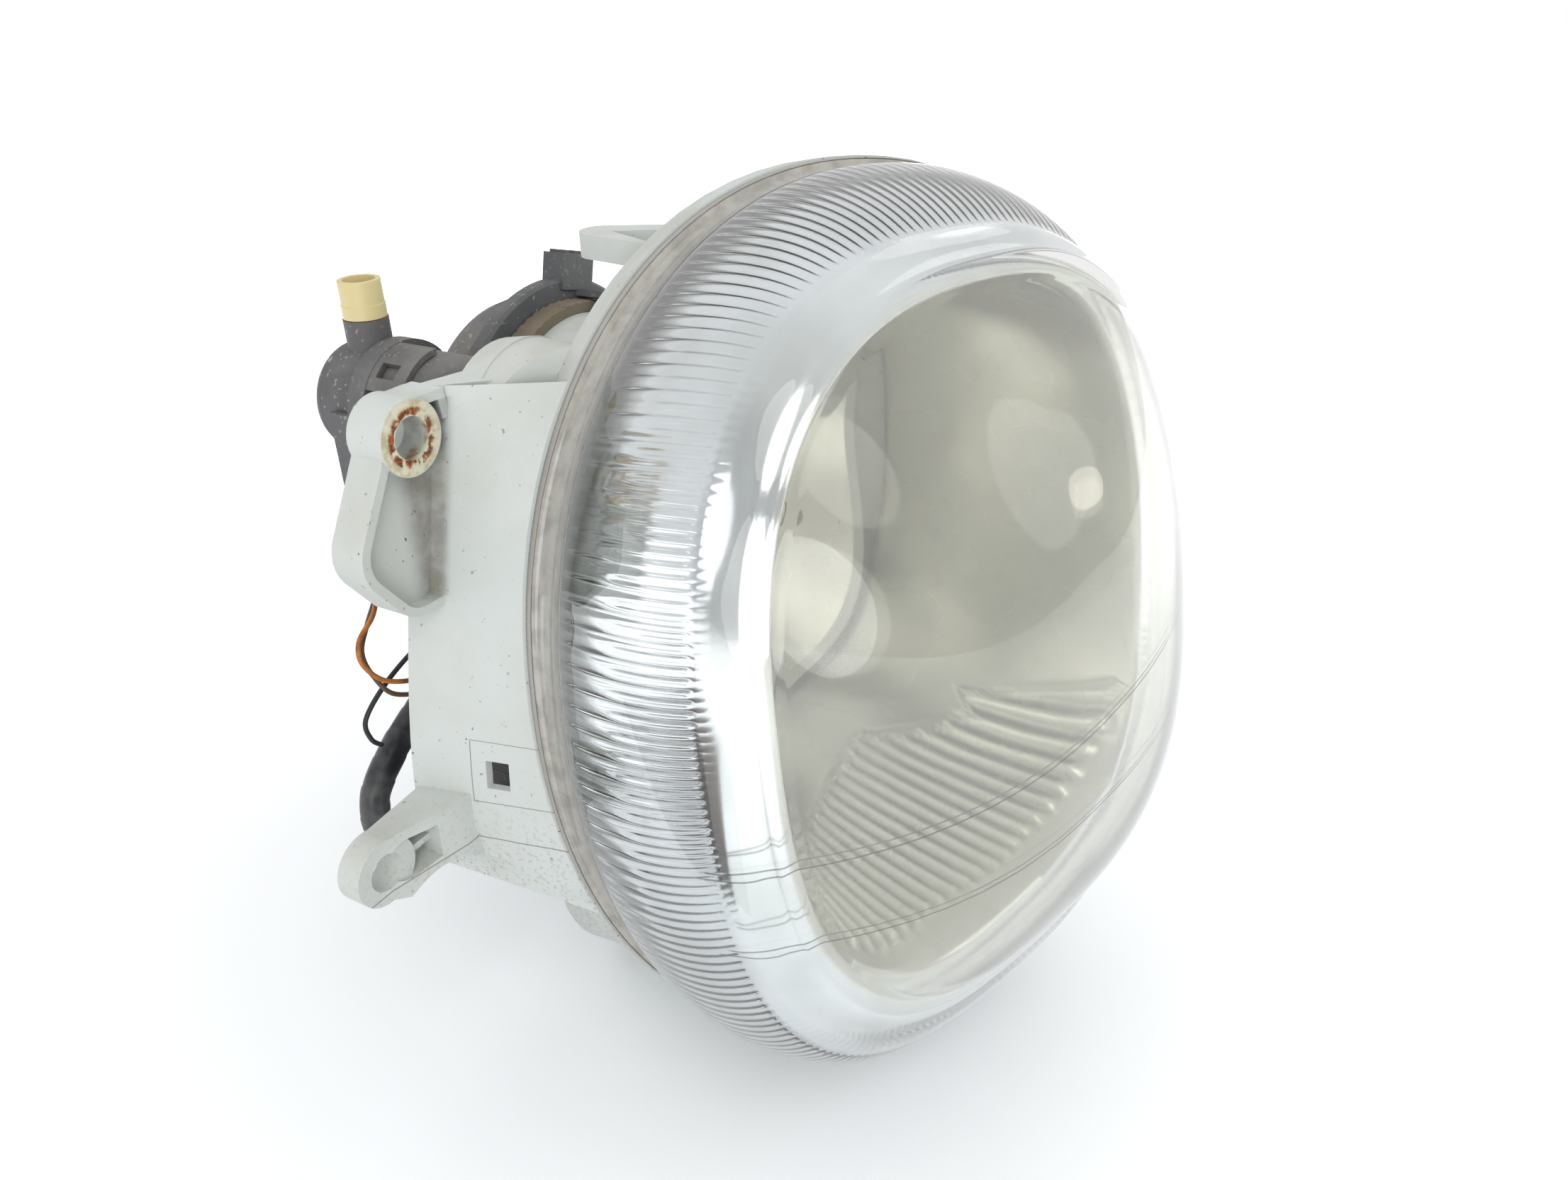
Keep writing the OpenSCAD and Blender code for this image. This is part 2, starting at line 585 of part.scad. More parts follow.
module aim_screw() {
    color([0.7, 0.7, 0.68]) ball_rod([aim_x, pivot_y, pivot_z], back_y + 22, 2.5);
}
module aim_knob() {
    color([0.3, 0.3, 0.31]) difference() {
        union() {
            backward([aim_x, back_y - wall, pivot_z]) cylinder(h = wall + 1, d = knob_d);
            backward([aim_x, back_y + seat_gap, pivot_z]) linear_extrude(12)
                polygon([for (i = [0 : 47]) let (r = 11 - 0.8*(i % 2)) [r*cos(7.5*i), r*sin(7.5*i)]]);
        }
        backward([aim_x, 0, pivot_z]) cylinder(h = back_y + 30, r = 2.5 + turn_gap);
    }
}

// Reflector: a paraboloid trimmed to an oval, with a bulb hub and posts for its three sockets
mirror_far = 82;
hub_r = 24;
hole_r = 19;
post_r = 6;
function bowl_z(r) = r*r/4/focal;
mirror_line = [for (k = [0 : 7]) let (r = hole_r - 2 + (mirror_far - hole_r + 2)*k/7) [r, bowl_z(r)]];
module oval_bar(d) {
    translate([0, 0, -5]) linear_extrude(90)
        polygon([for (i = [0 : 71]) let (r = oval_r(5*i, mirror_ax + d, mirror_az + d, 2.4)) r*[cos(5*i), sin(5*i)]]);
}
module mirror_shell() {
    intersection() {
        oval_bar(mirror_wall);
        rotate_extrude() polygon(concat(mirror_line, [for (k = [7 : -1 : 0]) mirror_line[k] - [0, 1.3*mirror_wall]]));
    }
}
module mirror_space() {
    intersection() {
        oval_bar(0);
        rotate_extrude() polygon(concat([[0, bowl_z(hole_r - 2)]], mirror_line, [[mirror_far, 84], [0, 84]]));
    }
}
module post(x, z, reach = 10) {
    k = 0.78;
    back = pivot_y - socket_front - 0.4;
    backward([x, back - reach, z]) cylinder(h = reach, r = post_r, $fn = 32);
    hull() {
        backward([x, back - reach, z]) cylinder(h = 7, r = post_r, $fn = 32);
        backward([axis_x + k*(x - axis_x), -34, axis_z + k*(z - axis_z)]) cylinder(h = 6, r = post_r, $fn = 32);
    }
}
parking_at = [axis_x + 34, -2, axis_z - 26];
clip_half = 15;
clip_z = axis_z - 22.5;
clip_y = 8.8;
module reflector() {
    color([0.9, 0.91, 0.92]) difference() {
        union() {
            forward([axis_x, 0, axis_z]) mirror_shell();
            backward([axis_x, -7, axis_z]) cylinder(h = 13, r = hub_r);
            post(motor_x, motor_z, 24);
            post(pivot_x, pivot_z);
            post(aim_x, pivot_z);
            backward(parking_at + [0, -22, 0]) cylinder(h = 16, r = 9);
            for (k = [-1, 1]) translate([axis_x + k*(clip_half + 4) - 1.5, -14, clip_z - 3]) cube([3, clip_y + 17, 8]);
        }
        forward([axis_x, 0, axis_z]) mirror_space();
        backward([axis_x, -20, axis_z]) cylinder(h = 40, r = hole_r);
        backward(parking_at + [0, -30, 0]) cylinder(h = 40, r = 6);
        translate([axis_x - 30, clip_y, clip_z]) rotate([0, 90, 0]) cylinder(h = 60, r = 0.8 + turn_gap);
    }
}

// Main bulb with its clip and plug
base_y = 6 + seat_gap/2;
module bulb_base() {
    color([0.75, 0.75, 0.74]) {
        backward([axis_x, base_y, axis_z]) cylinder(h = 1.6, r = 21);
        backward([axis_x, -4, axis_z]) cylinder(h = 20, r = 9.5);
        for (k = [-1, 1]) translate([axis_x + 6*k - 0.4, 15, axis_z - 4]) cube([0.8, 9, 8]);
        translate([axis_x - 4, 15, axis_z + 6]) cube([8, 9, 0.8]);
    }
}
module bulb_glass() {
    color([0.9, 0.92, 0.95, 0.4]) forward([axis_x, -4, axis_z]) rotate_extrude()
        polygon(concat([[0, 0], [8.5, 0], [8.5, 28]], [for (a = [15 : 15 : 90]) [8.5*cos(a), 28 + 8.5*sin(a)]]));
}
module wire_bar(p, q, r) {
    v = q - p;
    translate(p) rotate([0, acos(v[2]/norm(v)), atan2(v[1], v[0])]) cylinder(h = norm(v), r = r, $fn = 16);
}
clip_r = 0.8;
module bulb_clip() {
    a = [axis_x - clip_half - 6, clip_y, clip_z];
    b = [axis_x - clip_half, clip_y, clip_z];
    c = [axis_x - clip_half, clip_y, axis_z + 17];
    function flip(p) = [2*axis_x - p[0], p[1], p[2]];
    color([0.8, 0.8, 0.8]) {
        for (pair = [[a, b], [b, c], [c, flip(c)], [flip(c), flip(b)], [flip(b), flip(a)]])
            wire_bar(pair[0], pair[1], clip_r);
        for (p = [b, c, flip(c), flip(b)]) translate(p) sphere(r = clip_r, $fn = 16);
    }
}
module bulb_connector() {
    color([0.16, 0.16, 0.17]) difference() {
        translate([axis_x - 13, 16.4, axis_z - 11]) cube([26, 18, 22]);
        for (k = [-1, 1]) translate([axis_x + 6*k - 0.7, 15, axis_z - 4.4]) cube([1.4, 10, 8.8]);
        translate([axis_x - 4.4, 15, axis_z + 5.7]) cube([8.8, 10, 1.4]);
    }
}
module parking_holder() {
    color([0.25, 0.25, 0.26]) {
        backward(parking_at + [0, -5.8, 0]) cylinder(h = 6, r = 8.5);
        backward(parking_at + [0, -14, 0]) cylinder(h = 9, r = 5.7);
    }
}
module parking_bulb() {
    color([0.9, 0.92, 0.95, 0.4]) forward(parking_at + [0, -14, 0]) rotate_extrude()
        polygon(concat([[0, 0], [4.5, 0], [4.5, 12]], [for (a = [30 : 30 : 90]) [4.5*cos(a), 12 + 4.5*sin(a)]]));
}
module vent_cap() {
    color([0.2, 0.2, 0.2]) backward([92, back_y + seat_gap/2, -172]) rotate_extrude()
        polygon([[0, 0], [4, 0], [4, 4], [8, 4], [8, 13], [6, 15], [0, 15]]);
}

// Wires from the motor's plug and the taped loom, along routes chosen by hand
grommet_at = [33, back_y + seat_gap/2, -84];
grommet_t = 6;
module grommet() {
    color([0.2, 0.2, 0.2]) translate(grommet_at) cube([20, grommet_t, 26]);
}
conn_at = [40, back_y + seat_gap/2, -164];
conn = [26, 32, 22];
module harness_connector() {
    color([0.22, 0.22, 0.23]) {
        translate(conn_at) cube(conn);
        translate(conn_at + [6, 8, conn[2] - 1]) cube([14, 16, 4]);
    }
}
loom_d = 9.5;
wire_d = 1.5;
loom_pts = [[47, 13.2, -77], [47, 22, -77], [42, 31, -85], [29, 37, -96], [14, 37, -104], [1, 36, -111],
    [-9, 35, -121], [-9, 34, -136], [3, 33, -148], [18, 31, -153], [30, 30, -153], [39.9, 30, -153]];
orange_pts = [[26.9, 47, -64], [21, 47, -64], [12, 40, -60], [2, 32, -61], [-6, 30, -65], [-7, 29, -72],
    [0, 28, -81], [14, 26, -85], [28, 23, -76], [37, 18, -64], [37, 13.2, -64]];
brown_pts = [[26.9, 51, -64], [20, 51, -64], [11, 41, -62], [1, 34, -64], [-5, 31, -69], [-4, 30, -77],
    [2, 29, -87], [16, 27, -91], [30, 24, -82], [37, 19, -70], [37, 13.2, -70]];
black_pts = [[42, 13.2, -62], [42, 18, -62], [30, 26, -69], [14, 29, -76], [1, 31, -83], [-8, 32, -91],
    [-7, 33, -99], [-3, 34, -104]];
function unit(v) = v/norm(v);
// Points of a smooth curve through the route
function bend(p, i, u) = let (n = len(p) - 1, a = p[max(0, i - 1)], b = p[i], c = p[i + 1], d = p[min(n, i + 2)])
    0.5*((2*b) + (c - a)*u + (2*a - 5*b + 4*c - d)*u*u + (3*b - a - 3*c + d)*u*u*u);
function curve(p, k) = [for (i = [0 : len(p) - 2], j = [0 : k - 1]) bend(p, i, j/k), p[len(p) - 1]];
function heading(p, c, i) = i == 0 ? unit(p[1] - p[0]) :
    i == len(c) - 1 ? unit(p[len(p) - 1] - p[len(p) - 2]) : unit(c[i + 1] - c[i - 1]);
function side(p, c, i) = let (h = heading(p, c, i))
    i == 0 ? unit(cross(h, [0, 0, 1])) : let (v = side(p, c, i - 1)) unit(v - (v*h)*h);
module cord(p, d, k) {
    c = curve(p, k);
    m = len(c) - 1;
    rings = [for (i = [0 : m]) let (h = heading(p, c, i), a = side(p, c, i), b = cross(a, h))
        [for (j = [0 : 7]) c[i] + d/2*(a*cos(45*j) - b*sin(45*j))]];
    skin(concat([[c[0]]], rings, [[c[m]]]));
}
module loom() { color([0.12, 0.12, 0.13]) cord(loom_pts, loom_d, 2); }
module wire_orange() { color([0.72, 0.45, 0.22]) cord(orange_pts, wire_d, 2); }
module wire_brown() { color([0.32, 0.26, 0.22]) cord(brown_pts, wire_d, 2); }
module wire_black() { color([0.12, 0.12, 0.13]) cord(black_pts, wire_d, 2); }

housing();
lens();
lens_seal();
bezel();
snap_tab();
cover_seal();
rear_cover();
motor_housing();
motor_end_cap();
motor_clip();
motor_plug();
motor_spindle();
adjuster_shaft();
pivot_stud();
pivot_socket();
reflector();
motor_socket();
aim_socket();
aim_screw();
aim_knob();
bulb_base();
bulb_glass();
bulb_clip();
bulb_connector();
parking_holder();
parking_bulb();
vent_cap();
grommet();
harness_connector();
loom();
wire_orange();
wire_brown();
wire_black();
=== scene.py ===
# Car headlight: clear domed lens with a fluted skirt, bright liner, dusty housing, levelling motor and loom.
# Shapes are worked out in millimetres and made in metres, in the frame's axes.
import json
import math
from collections import namedtuple

import bmesh
import bpy
from mathutils import Matrix, Vector, noise

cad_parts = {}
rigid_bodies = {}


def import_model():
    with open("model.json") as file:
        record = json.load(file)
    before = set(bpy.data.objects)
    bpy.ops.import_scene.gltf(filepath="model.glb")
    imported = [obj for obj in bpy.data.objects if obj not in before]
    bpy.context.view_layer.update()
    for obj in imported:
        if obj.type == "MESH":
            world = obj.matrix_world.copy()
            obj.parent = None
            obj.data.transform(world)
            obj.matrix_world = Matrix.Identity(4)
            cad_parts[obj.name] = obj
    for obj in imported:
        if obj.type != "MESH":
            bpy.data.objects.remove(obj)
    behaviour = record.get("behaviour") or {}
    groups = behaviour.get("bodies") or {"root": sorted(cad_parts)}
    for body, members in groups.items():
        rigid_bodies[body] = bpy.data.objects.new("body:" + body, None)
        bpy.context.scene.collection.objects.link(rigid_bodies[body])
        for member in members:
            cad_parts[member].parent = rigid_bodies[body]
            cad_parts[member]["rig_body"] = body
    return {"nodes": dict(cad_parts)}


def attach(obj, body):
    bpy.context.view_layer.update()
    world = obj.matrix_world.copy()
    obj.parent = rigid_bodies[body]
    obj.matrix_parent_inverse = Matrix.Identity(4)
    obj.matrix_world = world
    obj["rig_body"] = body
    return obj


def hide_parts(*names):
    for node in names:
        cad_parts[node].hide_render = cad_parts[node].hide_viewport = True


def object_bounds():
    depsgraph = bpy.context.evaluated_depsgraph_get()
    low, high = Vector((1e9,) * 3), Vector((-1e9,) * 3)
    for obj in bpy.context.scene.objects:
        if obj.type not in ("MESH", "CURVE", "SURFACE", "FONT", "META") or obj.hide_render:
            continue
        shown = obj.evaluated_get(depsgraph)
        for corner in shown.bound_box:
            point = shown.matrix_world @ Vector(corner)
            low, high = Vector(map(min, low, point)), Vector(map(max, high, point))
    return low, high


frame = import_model()
cad_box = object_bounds()
nodes = frame["nodes"]
scene = bpy.context.scene
MM = 0.001


# Camera at the photograph's viewing angle: its place in metres, its directions, and its lens in millimetres
CAMERA_PLACE = (-0.1968, -0.2220, 0.1050)
CAMERA_RIGHT = Vector((0.49214, -0.87022, -0.02290))
CAMERA_UP = Vector((0.42178, 0.21535, 0.88075))
CAMERA_FORWARD = Vector((0.76151, 0.44311, -0.47303))
CAMERA_LENS, FILM_WIDTH = 27.1, 36


def make_camera():
    data = bpy.data.cameras.new("camera")
    data.lens = CAMERA_LENS
    data.sensor_width = FILM_WIDTH
    data.clip_start = 0.01
    data.clip_end = 50
    cam = bpy.data.objects.new("camera", data)
    turn = Matrix((CAMERA_RIGHT, CAMERA_UP, -CAMERA_FORWARD)).transposed().to_4x4()
    cam.matrix_world = Matrix.Translation(CAMERA_PLACE) @ turn
    scene.collection.objects.link(cam)
    scene.camera = cam


make_camera()


# Colours are written as they look on a screen
def srgb(r, g, b):
    return tuple(((c + 0.055) / 1.055) ** 2.4 if c > 0.04045 else c / 12.92 for c in (r, g, b)) + (1.0,)


class Nodes:
    """Short calls that make and link the nodes of a tree."""

    def __init__(self, tree):
        self.tree = tree

    def node(self, kind, **values):
        made = self.tree.nodes.new(kind)
        for key, value in values.items():
            setattr(made, key, value)
        return made

    def put(self, socket, value):
        """Links an output to a socket, or sets the socket's own value."""
        if isinstance(value, bpy.types.NodeSocket):
            self.tree.links.new(value, socket)
        else:
            socket.default_value = value

    def math(self, kind, a, b=0.0, clamp=False):
        made = self.node("ShaderNodeMath", operation=kind, use_clamp=clamp)
        self.put(made.inputs[0], a)
        self.put(made.inputs[1], b)
        return made.outputs[0]

    def step(self, value, low, high, out_low=0.0, out_high=1.0):
        """A soft step from out_low to out_high while the value goes from low to high."""
        made = self.node("ShaderNodeMapRange", interpolation_type="SMOOTHSTEP")
        self.put(made.inputs["Value"], value)
        for key, number in (("From Min", low), ("From Max", high), ("To Min", out_low), ("To Max", out_high)):
            made.inputs[key].default_value = number
        return made.outputs["Result"]

    def split(self, vector):
        made = self.node("ShaderNodeSeparateXYZ")
        self.put(made.inputs[0], vector)
        return made.outputs


class Shade(Nodes):
    """A node material built on one Principled shader, with object coordinates in metres."""

    def __init__(self, name):
        self.mat = bpy.data.materials.new(name)
        self.mat.use_nodes = True
        super().__init__(self.mat.node_tree)
        self.bsdf = self.tree.nodes["Principled BSDF"]
        self.place = self.node("ShaderNodeTexCoord").outputs["Object"]

    def set(self, **values):
        """Links or sets the shader's inputs, named with low lines for spaces."""
        for key, value in values.items():
            self.put(self.bsdf.inputs[key.replace("_", " ")], value)

    def noise(self, scale, detail=4, rough=0.55):
        made = self.node("ShaderNodeTexNoise")
        self.put(made.inputs["Vector"], self.place)
        made.inputs["Scale"].default_value = scale
        made.inputs["Detail"].default_value = detail
        made.inputs["Roughness"].default_value = rough
        return made.outputs["Fac"]

    def mix(self, factor, a, b):
        made = self.node("ShaderNodeMix", data_type="RGBA")
        self.put(made.inputs[0], factor)
        self.put(made.inputs[6], a)
        self.put(made.inputs[7], b)
        return made.outputs[2]

    def attribute(self, name):
        """The value that a mesh holds at its points."""
        return self.node("ShaderNodeAttribute", attribute_name=name).outputs["Fac"]

    def normal(self):
        return self.split(self.node("ShaderNodeNewGeometry").outputs["Normal"])

    def bump(self, height, strength, distance):
        made = self.node("ShaderNodeBump")
        made.inputs["Strength"].default_value = strength
        made.inputs["Distance"].default_value = distance
        self.put(made.inputs["Height"], height)
        self.put(self.bsdf.inputs["Normal"], made.outputs["Normal"])

    def dot(self, centre, axis):
        """Distance in metres along an axis from a centre."""
        away = self.node("ShaderNodeVectorMath", operation="SUBTRACT")
        self.put(away.inputs[0], self.place)
        away.inputs[1].default_value = centre
        made = self.node("ShaderNodeVectorMath", operation="DOT_PRODUCT")
        self.put(made.inputs[0], away.outputs[0])
        made.inputs[1].default_value = axis
        return made.outputs["Value"]

    def line(self, value, at, half):
        """1 within half a width of a level, and 0 outside."""
        return self.step(self.math("ABSOLUTE", self.math("SUBTRACT", value, at)), half * 0.6, half, 1, 0)

    def hypot(self, a, b):
        return self.math("SQRT", self.math("ADD", self.math("MULTIPLY", a, a), self.math("MULTIPLY", b, b)))

    def from_axis(self, x, z):
        """Distance in metres from a line along Y."""
        px, _, pz = self.split(self.place)
        return self.hypot(self.math("SUBTRACT", px, x), self.math("SUBTRACT", pz, z))


def moulded(name, colour, dust, specks, speck_level=0.66, rough=(0.42, 0.62), dusty=0.5, grain=1800,
            bump=0.12):
    """Aged moulded plastic: uneven tone, settled dust, dark specks and a fine grain."""
    s = Shade(name)
    broad = s.step(s.noise(26, 6, 0.62), 0.38, 0.68)
    lying = s.step(s.normal()[2], 0.1, 0.9)
    settle = s.math("MULTIPLY", s.math("ADD", s.math("MULTIPLY", lying, 0.6), 0.4), broad)
    tone = s.mix(s.math("MULTIPLY", settle, dusty), colour, dust)
    fine = s.step(s.noise(520, 3, 0.5), speck_level, speck_level + 0.06)
    patches = s.step(s.noise(40, 3), 0.35, 0.65, 0.25, 1.0)
    tone = s.mix(s.math("MULTIPLY", fine, patches), tone, specks)
    s.set(Base_Color=tone, Roughness=s.step(broad, 0, 1, *rough))
    s.bump(s.noise(grain, 2, 0.6), bump, 0.0004)
    return s


def paint(obj, shade):
    obj.data.materials.clear()
    obj.data.materials.append(shade.mat)


def add(name, mesh, shade, body="root"):
    """An object with smooth faces that moves with a body of the frame."""
    obj = bpy.data.objects.new(name, mesh)
    scene.collection.objects.link(obj)
    paint(obj, shade)
    mesh.polygons.foreach_set("use_smooth", [True] * len(mesh.polygons))
    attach(obj, body)
    return obj


# Wires and loom: the route's points, in metres
def metres(points):
    return [Vector(p) * MM for p in points]


LOOM_D = 0.0095
WIRE_D = 0.0015
LOOM_ROUTE = metres([
    (47, 13.2, -77), (47, 22, -77), (42, 31, -85), (29, 37, -96), (14, 37, -104), (1, 36, -111),
    (-9, 35, -121), (-9, 34, -136), (3, 33, -148), (18, 31, -153), (30, 30, -153), (39.9, 30, -153),
])
ORANGE_ROUTE = metres([
    (26.9, 47, -64), (21, 47, -64), (12, 40, -60), (2, 32, -61), (-6, 30, -65), (-7, 29, -72),
    (0, 28, -81), (14, 26, -85), (28, 23, -76), (37, 18, -64), (37, 13.2, -64),
])
BROWN_ROUTE = metres([
    (26.9, 51, -64), (20, 51, -64), (11, 41, -62), (1, 34, -64), (-5, 31, -69), (-4, 30, -77),
    (2, 29, -87), (16, 27, -91), (30, 24, -82), (37, 19, -70), (37, 13.2, -70),
])
BLACK_ROUTE = metres([
    (42, 13.2, -62), (42, 18, -62), (30, 26, -69), (14, 29, -76), (1, 31, -83), (-8, 32, -91),
    (-7, 33, -99), (-3, 34, -104),
])


def curve_through(points, count):
    """Points of a smooth curve through the route, count to each stretch."""
    n = len(points) - 1
    out = []
    for i in range(n):
        a, b, c, d = points[max(0, i - 1)], points[i], points[i + 1], points[min(n, i + 2)]
        for j in range(count):
            u = j / count
            out.append(0.5 * (2 * b + (c - a) * u + (2 * a - 5 * b + 4 * c - d) * u * u
                              + (3 * b - a - 3 * c + d) * u ** 3))
    out.append(points[n])
    return out


def tube(name, line, radius, sides):
    """A closed tube along a line. Its radius is a number, or a function of distance along and angle."""
    size = radius if callable(radius) else (lambda along, turn: radius)
    rings = []
    along = 0.0
    across = None
    for i, p in enumerate(line):
        if i:
            along += (p - line[i - 1]).length
        heading = (line[min(i + 1, len(line) - 1)] - line[max(i - 1, 0)]).normalized()
        if across is None:
            across = heading.cross(Vector((0, 0, 1)))
            if across.length < 0.1:
                across = heading.cross(Vector((1, 0, 0)))
        across = (across - heading * across.dot(heading)).normalized()
        other = heading.cross(across)
        ring = []
        for j in range(sides):
            t = math.tau * j / sides
            ring.append(p + size(along, t) * (across * math.cos(t) + other * math.sin(t)))
        rings.append(ring)
    return skin(name, [[line[0]]] + rings + [[line[-1]]])


def skin(name, rings, loop=False):
    """A mesh over rings of points. An end ring may be one point, and a loop joins the last to the first."""
    mesh = bpy.data.meshes.new(name)
    points = [p for ring in rings for p in ring]
    start = [0]
    for ring in rings:
        start.append(start[-1] + len(ring))
    faces = []
    for k in range(len(rings) - (0 if loop else 1)):
        m = (k + 1) % len(rings)
        a, na, b, nb = start[k], len(rings[k]), start[m], len(rings[m])
        if nb == 1:
            faces += [(a + i, b, a + (i + 1) % na) for i in range(na)]
        elif na == 1:
            faces += [(a, b + i, b + (i + 1) % nb) for i in range(nb)]
        else:
            faces += [(a + i, b + i, b + (i + 1) % nb, a + (i + 1) % na) for i in range(na)]
    mesh.from_pydata(points, [], faces)
    work = bmesh.new()
    work.from_mesh(mesh)
    bmesh.ops.recalc_face_normals(work, faces=work.faces)
    work.to_mesh(mesh)
    work.free()
    return mesh


def spread(mesh, name, values):
    """Stores a value at each point of a mesh, for its material."""
    made = mesh.attributes.new(name, "FLOAT", "POINT")
    made.data.foreach_set("value", values)


def wire_material(name, colour, dark):
    s = Shade(name)
    s.set(Base_Color=s.mix(s.step(s.noise(160, 3), 0.4, 0.7), colour, dark),
          Roughness=s.step(s.noise(90, 2), 0.3, 0.7, 0.35, 0.6))
    s.bump(s.noise(900, 2), 0.2, 0.0002)
    return s


def make_wire(name, route, colour, dark):
    line = curve_through(route, 8)
    mesh = tube(name + "_lead", line, WIRE_D / 2, 14)
    obj = add(name + "_lead", mesh, wire_material(name + "_skin", colour, dark))
    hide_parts(name)


make_wire("wire_orange", ORANGE_ROUTE, srgb(0.74, 0.46, 0.2), srgb(0.5, 0.3, 0.16))
make_wire("wire_brown", BROWN_ROUTE, srgb(0.4, 0.3, 0.22), srgb(0.26, 0.2, 0.16))
make_wire("wire_black", BLACK_ROUTE, srgb(0.16, 0.16, 0.17), srgb(0.1, 0.1, 0.1))

# The tape's pitch, the step at its edge, how far its lowest turn lies inside the loom's size, and its creases
TAPE_PITCH = 0.0085
TAPE_STEP = 0.00035
TAPE_SINK = 0.0003
CREASE = 0.00012


def make_loom():
    line = curve_through(LOOM_ROUTE, 26)

    def wound(along, turn):
        """The radius of the wound tape at a distance along the loom and an angle round it."""
        lap = (along / TAPE_PITCH - turn / math.tau) % 1.0
        crease = noise.noise(Vector((math.cos(turn) * 2, math.sin(turn) * 2, along * 180)))
        edge = min(1.0, lap / 0.08)
        return LOOM_D / 2 - TAPE_SINK + TAPE_STEP * (edge * (1 - 0.55 * lap) - 0.45) + CREASE * crease

    s = Shade("tape")
    s.set(Base_Color=s.mix(s.step(s.noise(70, 4), 0.42, 0.72), srgb(0.1, 0.105, 0.13), srgb(0.3, 0.3, 0.3)),
          Roughness=s.step(s.noise(60, 3), 0.3, 0.7, 0.22, 0.5))
    s.bump(s.noise(900, 2, 0.6), 0.25, 0.0003)
    obj = add("taped_loom", tube("taped_loom", line, wound, 28), s)
    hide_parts("loom")


make_loom()


# Floor, backdrop and light
FLOOR_Z = cad_box[0].z - 0.0004
FLOOR_SIZE = 12
FLOOR_X = 0.1
LAMP_AIM = Vector((0.06, -0.05, -0.08))
# The dark cloth's left, right, front and back edges, and its height over the floor
CLOTH_SIDES = (-0.5, -0.15, -0.1, 0.3)
CLOTH_LIFT = 0.002


def make_stage():
    s = Shade("floor_white")
    px, py, _ = s.split(s.place)
    away = s.hypot(px, py)
    path = s.node("ShaderNodeLightPath").outputs
    indirect = s.math("MAXIMUM", path["Is Glossy Ray"], path["Is Transmission Ray"])
    seen = s.math("MAXIMUM", path["Is Camera Ray"], indirect)
    s.set(Base_Color=srgb(0.965, 0.975, 0.985), Roughness=0.35, Emission_Color=(1, 1, 1, 1),
          Emission_Strength=s.math("MULTIPLY", s.step(away, 0.12, 0.75, 0.02, 0.8), seen))
    bpy.ops.mesh.primitive_plane_add(size=FLOOR_SIZE, location=(FLOOR_X, 0, FLOOR_Z))
    floor = bpy.context.object
    floor.name = "floor"
    paint(floor, s)


def make_lamp(name, place, size, watts, colour=(1, 1, 1), glint=False):
    """A round lamp aimed at the object; glint says that bright surfaces mirror it."""
    data = bpy.data.lights.new(name, "AREA")
    data.shape = "DISK"
    data.size = size
    data.energy = watts
    data.color = colour
    lamp = bpy.data.objects.new(name, data)
    lamp.location = place
    lamp.rotation_euler = (LAMP_AIM - Vector(place)).to_track_quat("-Z", "Y").to_euler()
    lamp.visible_camera = False
    lamp.visible_glossy = glint
    scene.collection.objects.link(lamp)


def make_dark_side():
    """A dark cloth on the floor beside the headlight, which shows only in bright metal."""
    mesh = bpy.data.meshes.new("dark_side")
    left, right, front, back = CLOTH_SIDES
    z = FLOOR_Z + CLOTH_LIFT
    corners = [(left, front, z), (right, front, z), (right, back, z), (left, back, z)]
    mesh.from_pydata(corners, [], [(0, 1, 2, 3)])
    s = Shade("dark_cloth")
    mirrored = s.math("MINIMUM", s.node("ShaderNodeLightPath").outputs["Glossy Depth"], 1.0)
    s.set(Base_Color=s.mix(s.step(s.noise(6, 4), 0.35, 0.65), srgb(0.3, 0.3, 0.31), srgb(0.42, 0.36, 0.33)),
          Roughness=0.9, Alpha=mirrored)
    obj = bpy.data.objects.new("dark_side", mesh)
    scene.collection.objects.link(obj)
    paint(obj, s)
    obj.visible_camera = False
    obj.visible_diffuse = False
    obj.visible_shadow = False


def make_world():
    world = bpy.data.worlds.new("studio")
    scene.world = world
    world.use_nodes = True
    n = Nodes(world.node_tree)
    path = n.node("ShaderNodeLightPath").outputs
    # The room is darker on the outboard side, which gives bright metal its bands
    across = n.split(n.node("ShaderNodeTexCoord").outputs["Generated"])[0]
    room = n.step(across, -0.75, -0.1, 0.6, 0.95)
    # White behind the object and straight through clear plastic; what bright metal mirrors is the room
    direct = n.math("LESS_THAN", path["Glossy Depth"], 0.5)
    clear = n.math("MULTIPLY", path["Is Transmission Ray"], direct)
    seen = n.math("MAXIMUM", n.math("MAXIMUM", path["Is Camera Ray"], clear), room)
    back = n.tree.nodes["Background"]
    back.inputs["Color"].default_value = (1, 1, 1, 1)
    n.put(back.inputs["Strength"], seen)


make_stage()
make_world()
scene.view_settings.view_transform = "Standard"
make_lamp("key", (-0.9, -0.9, 1.3), 1.0, 8.2, (1, 0.985, 0.95))
make_lamp("fill", (-1.2, 0.6, 0.5), 0.9, 2.3, (0.97, 0.98, 1))
make_lamp("front", (0.9, -1.5, 0.7), 1.0, 5.5)
make_lamp("window", (-0.9, -0.53, 0.14), 0.6, 3, glint=True)
make_lamp("lantern", (0.68, -0.91, 0.19), 0.13, 0.12, (1, 0.93, 0.8), glint=True)
make_dark_side()


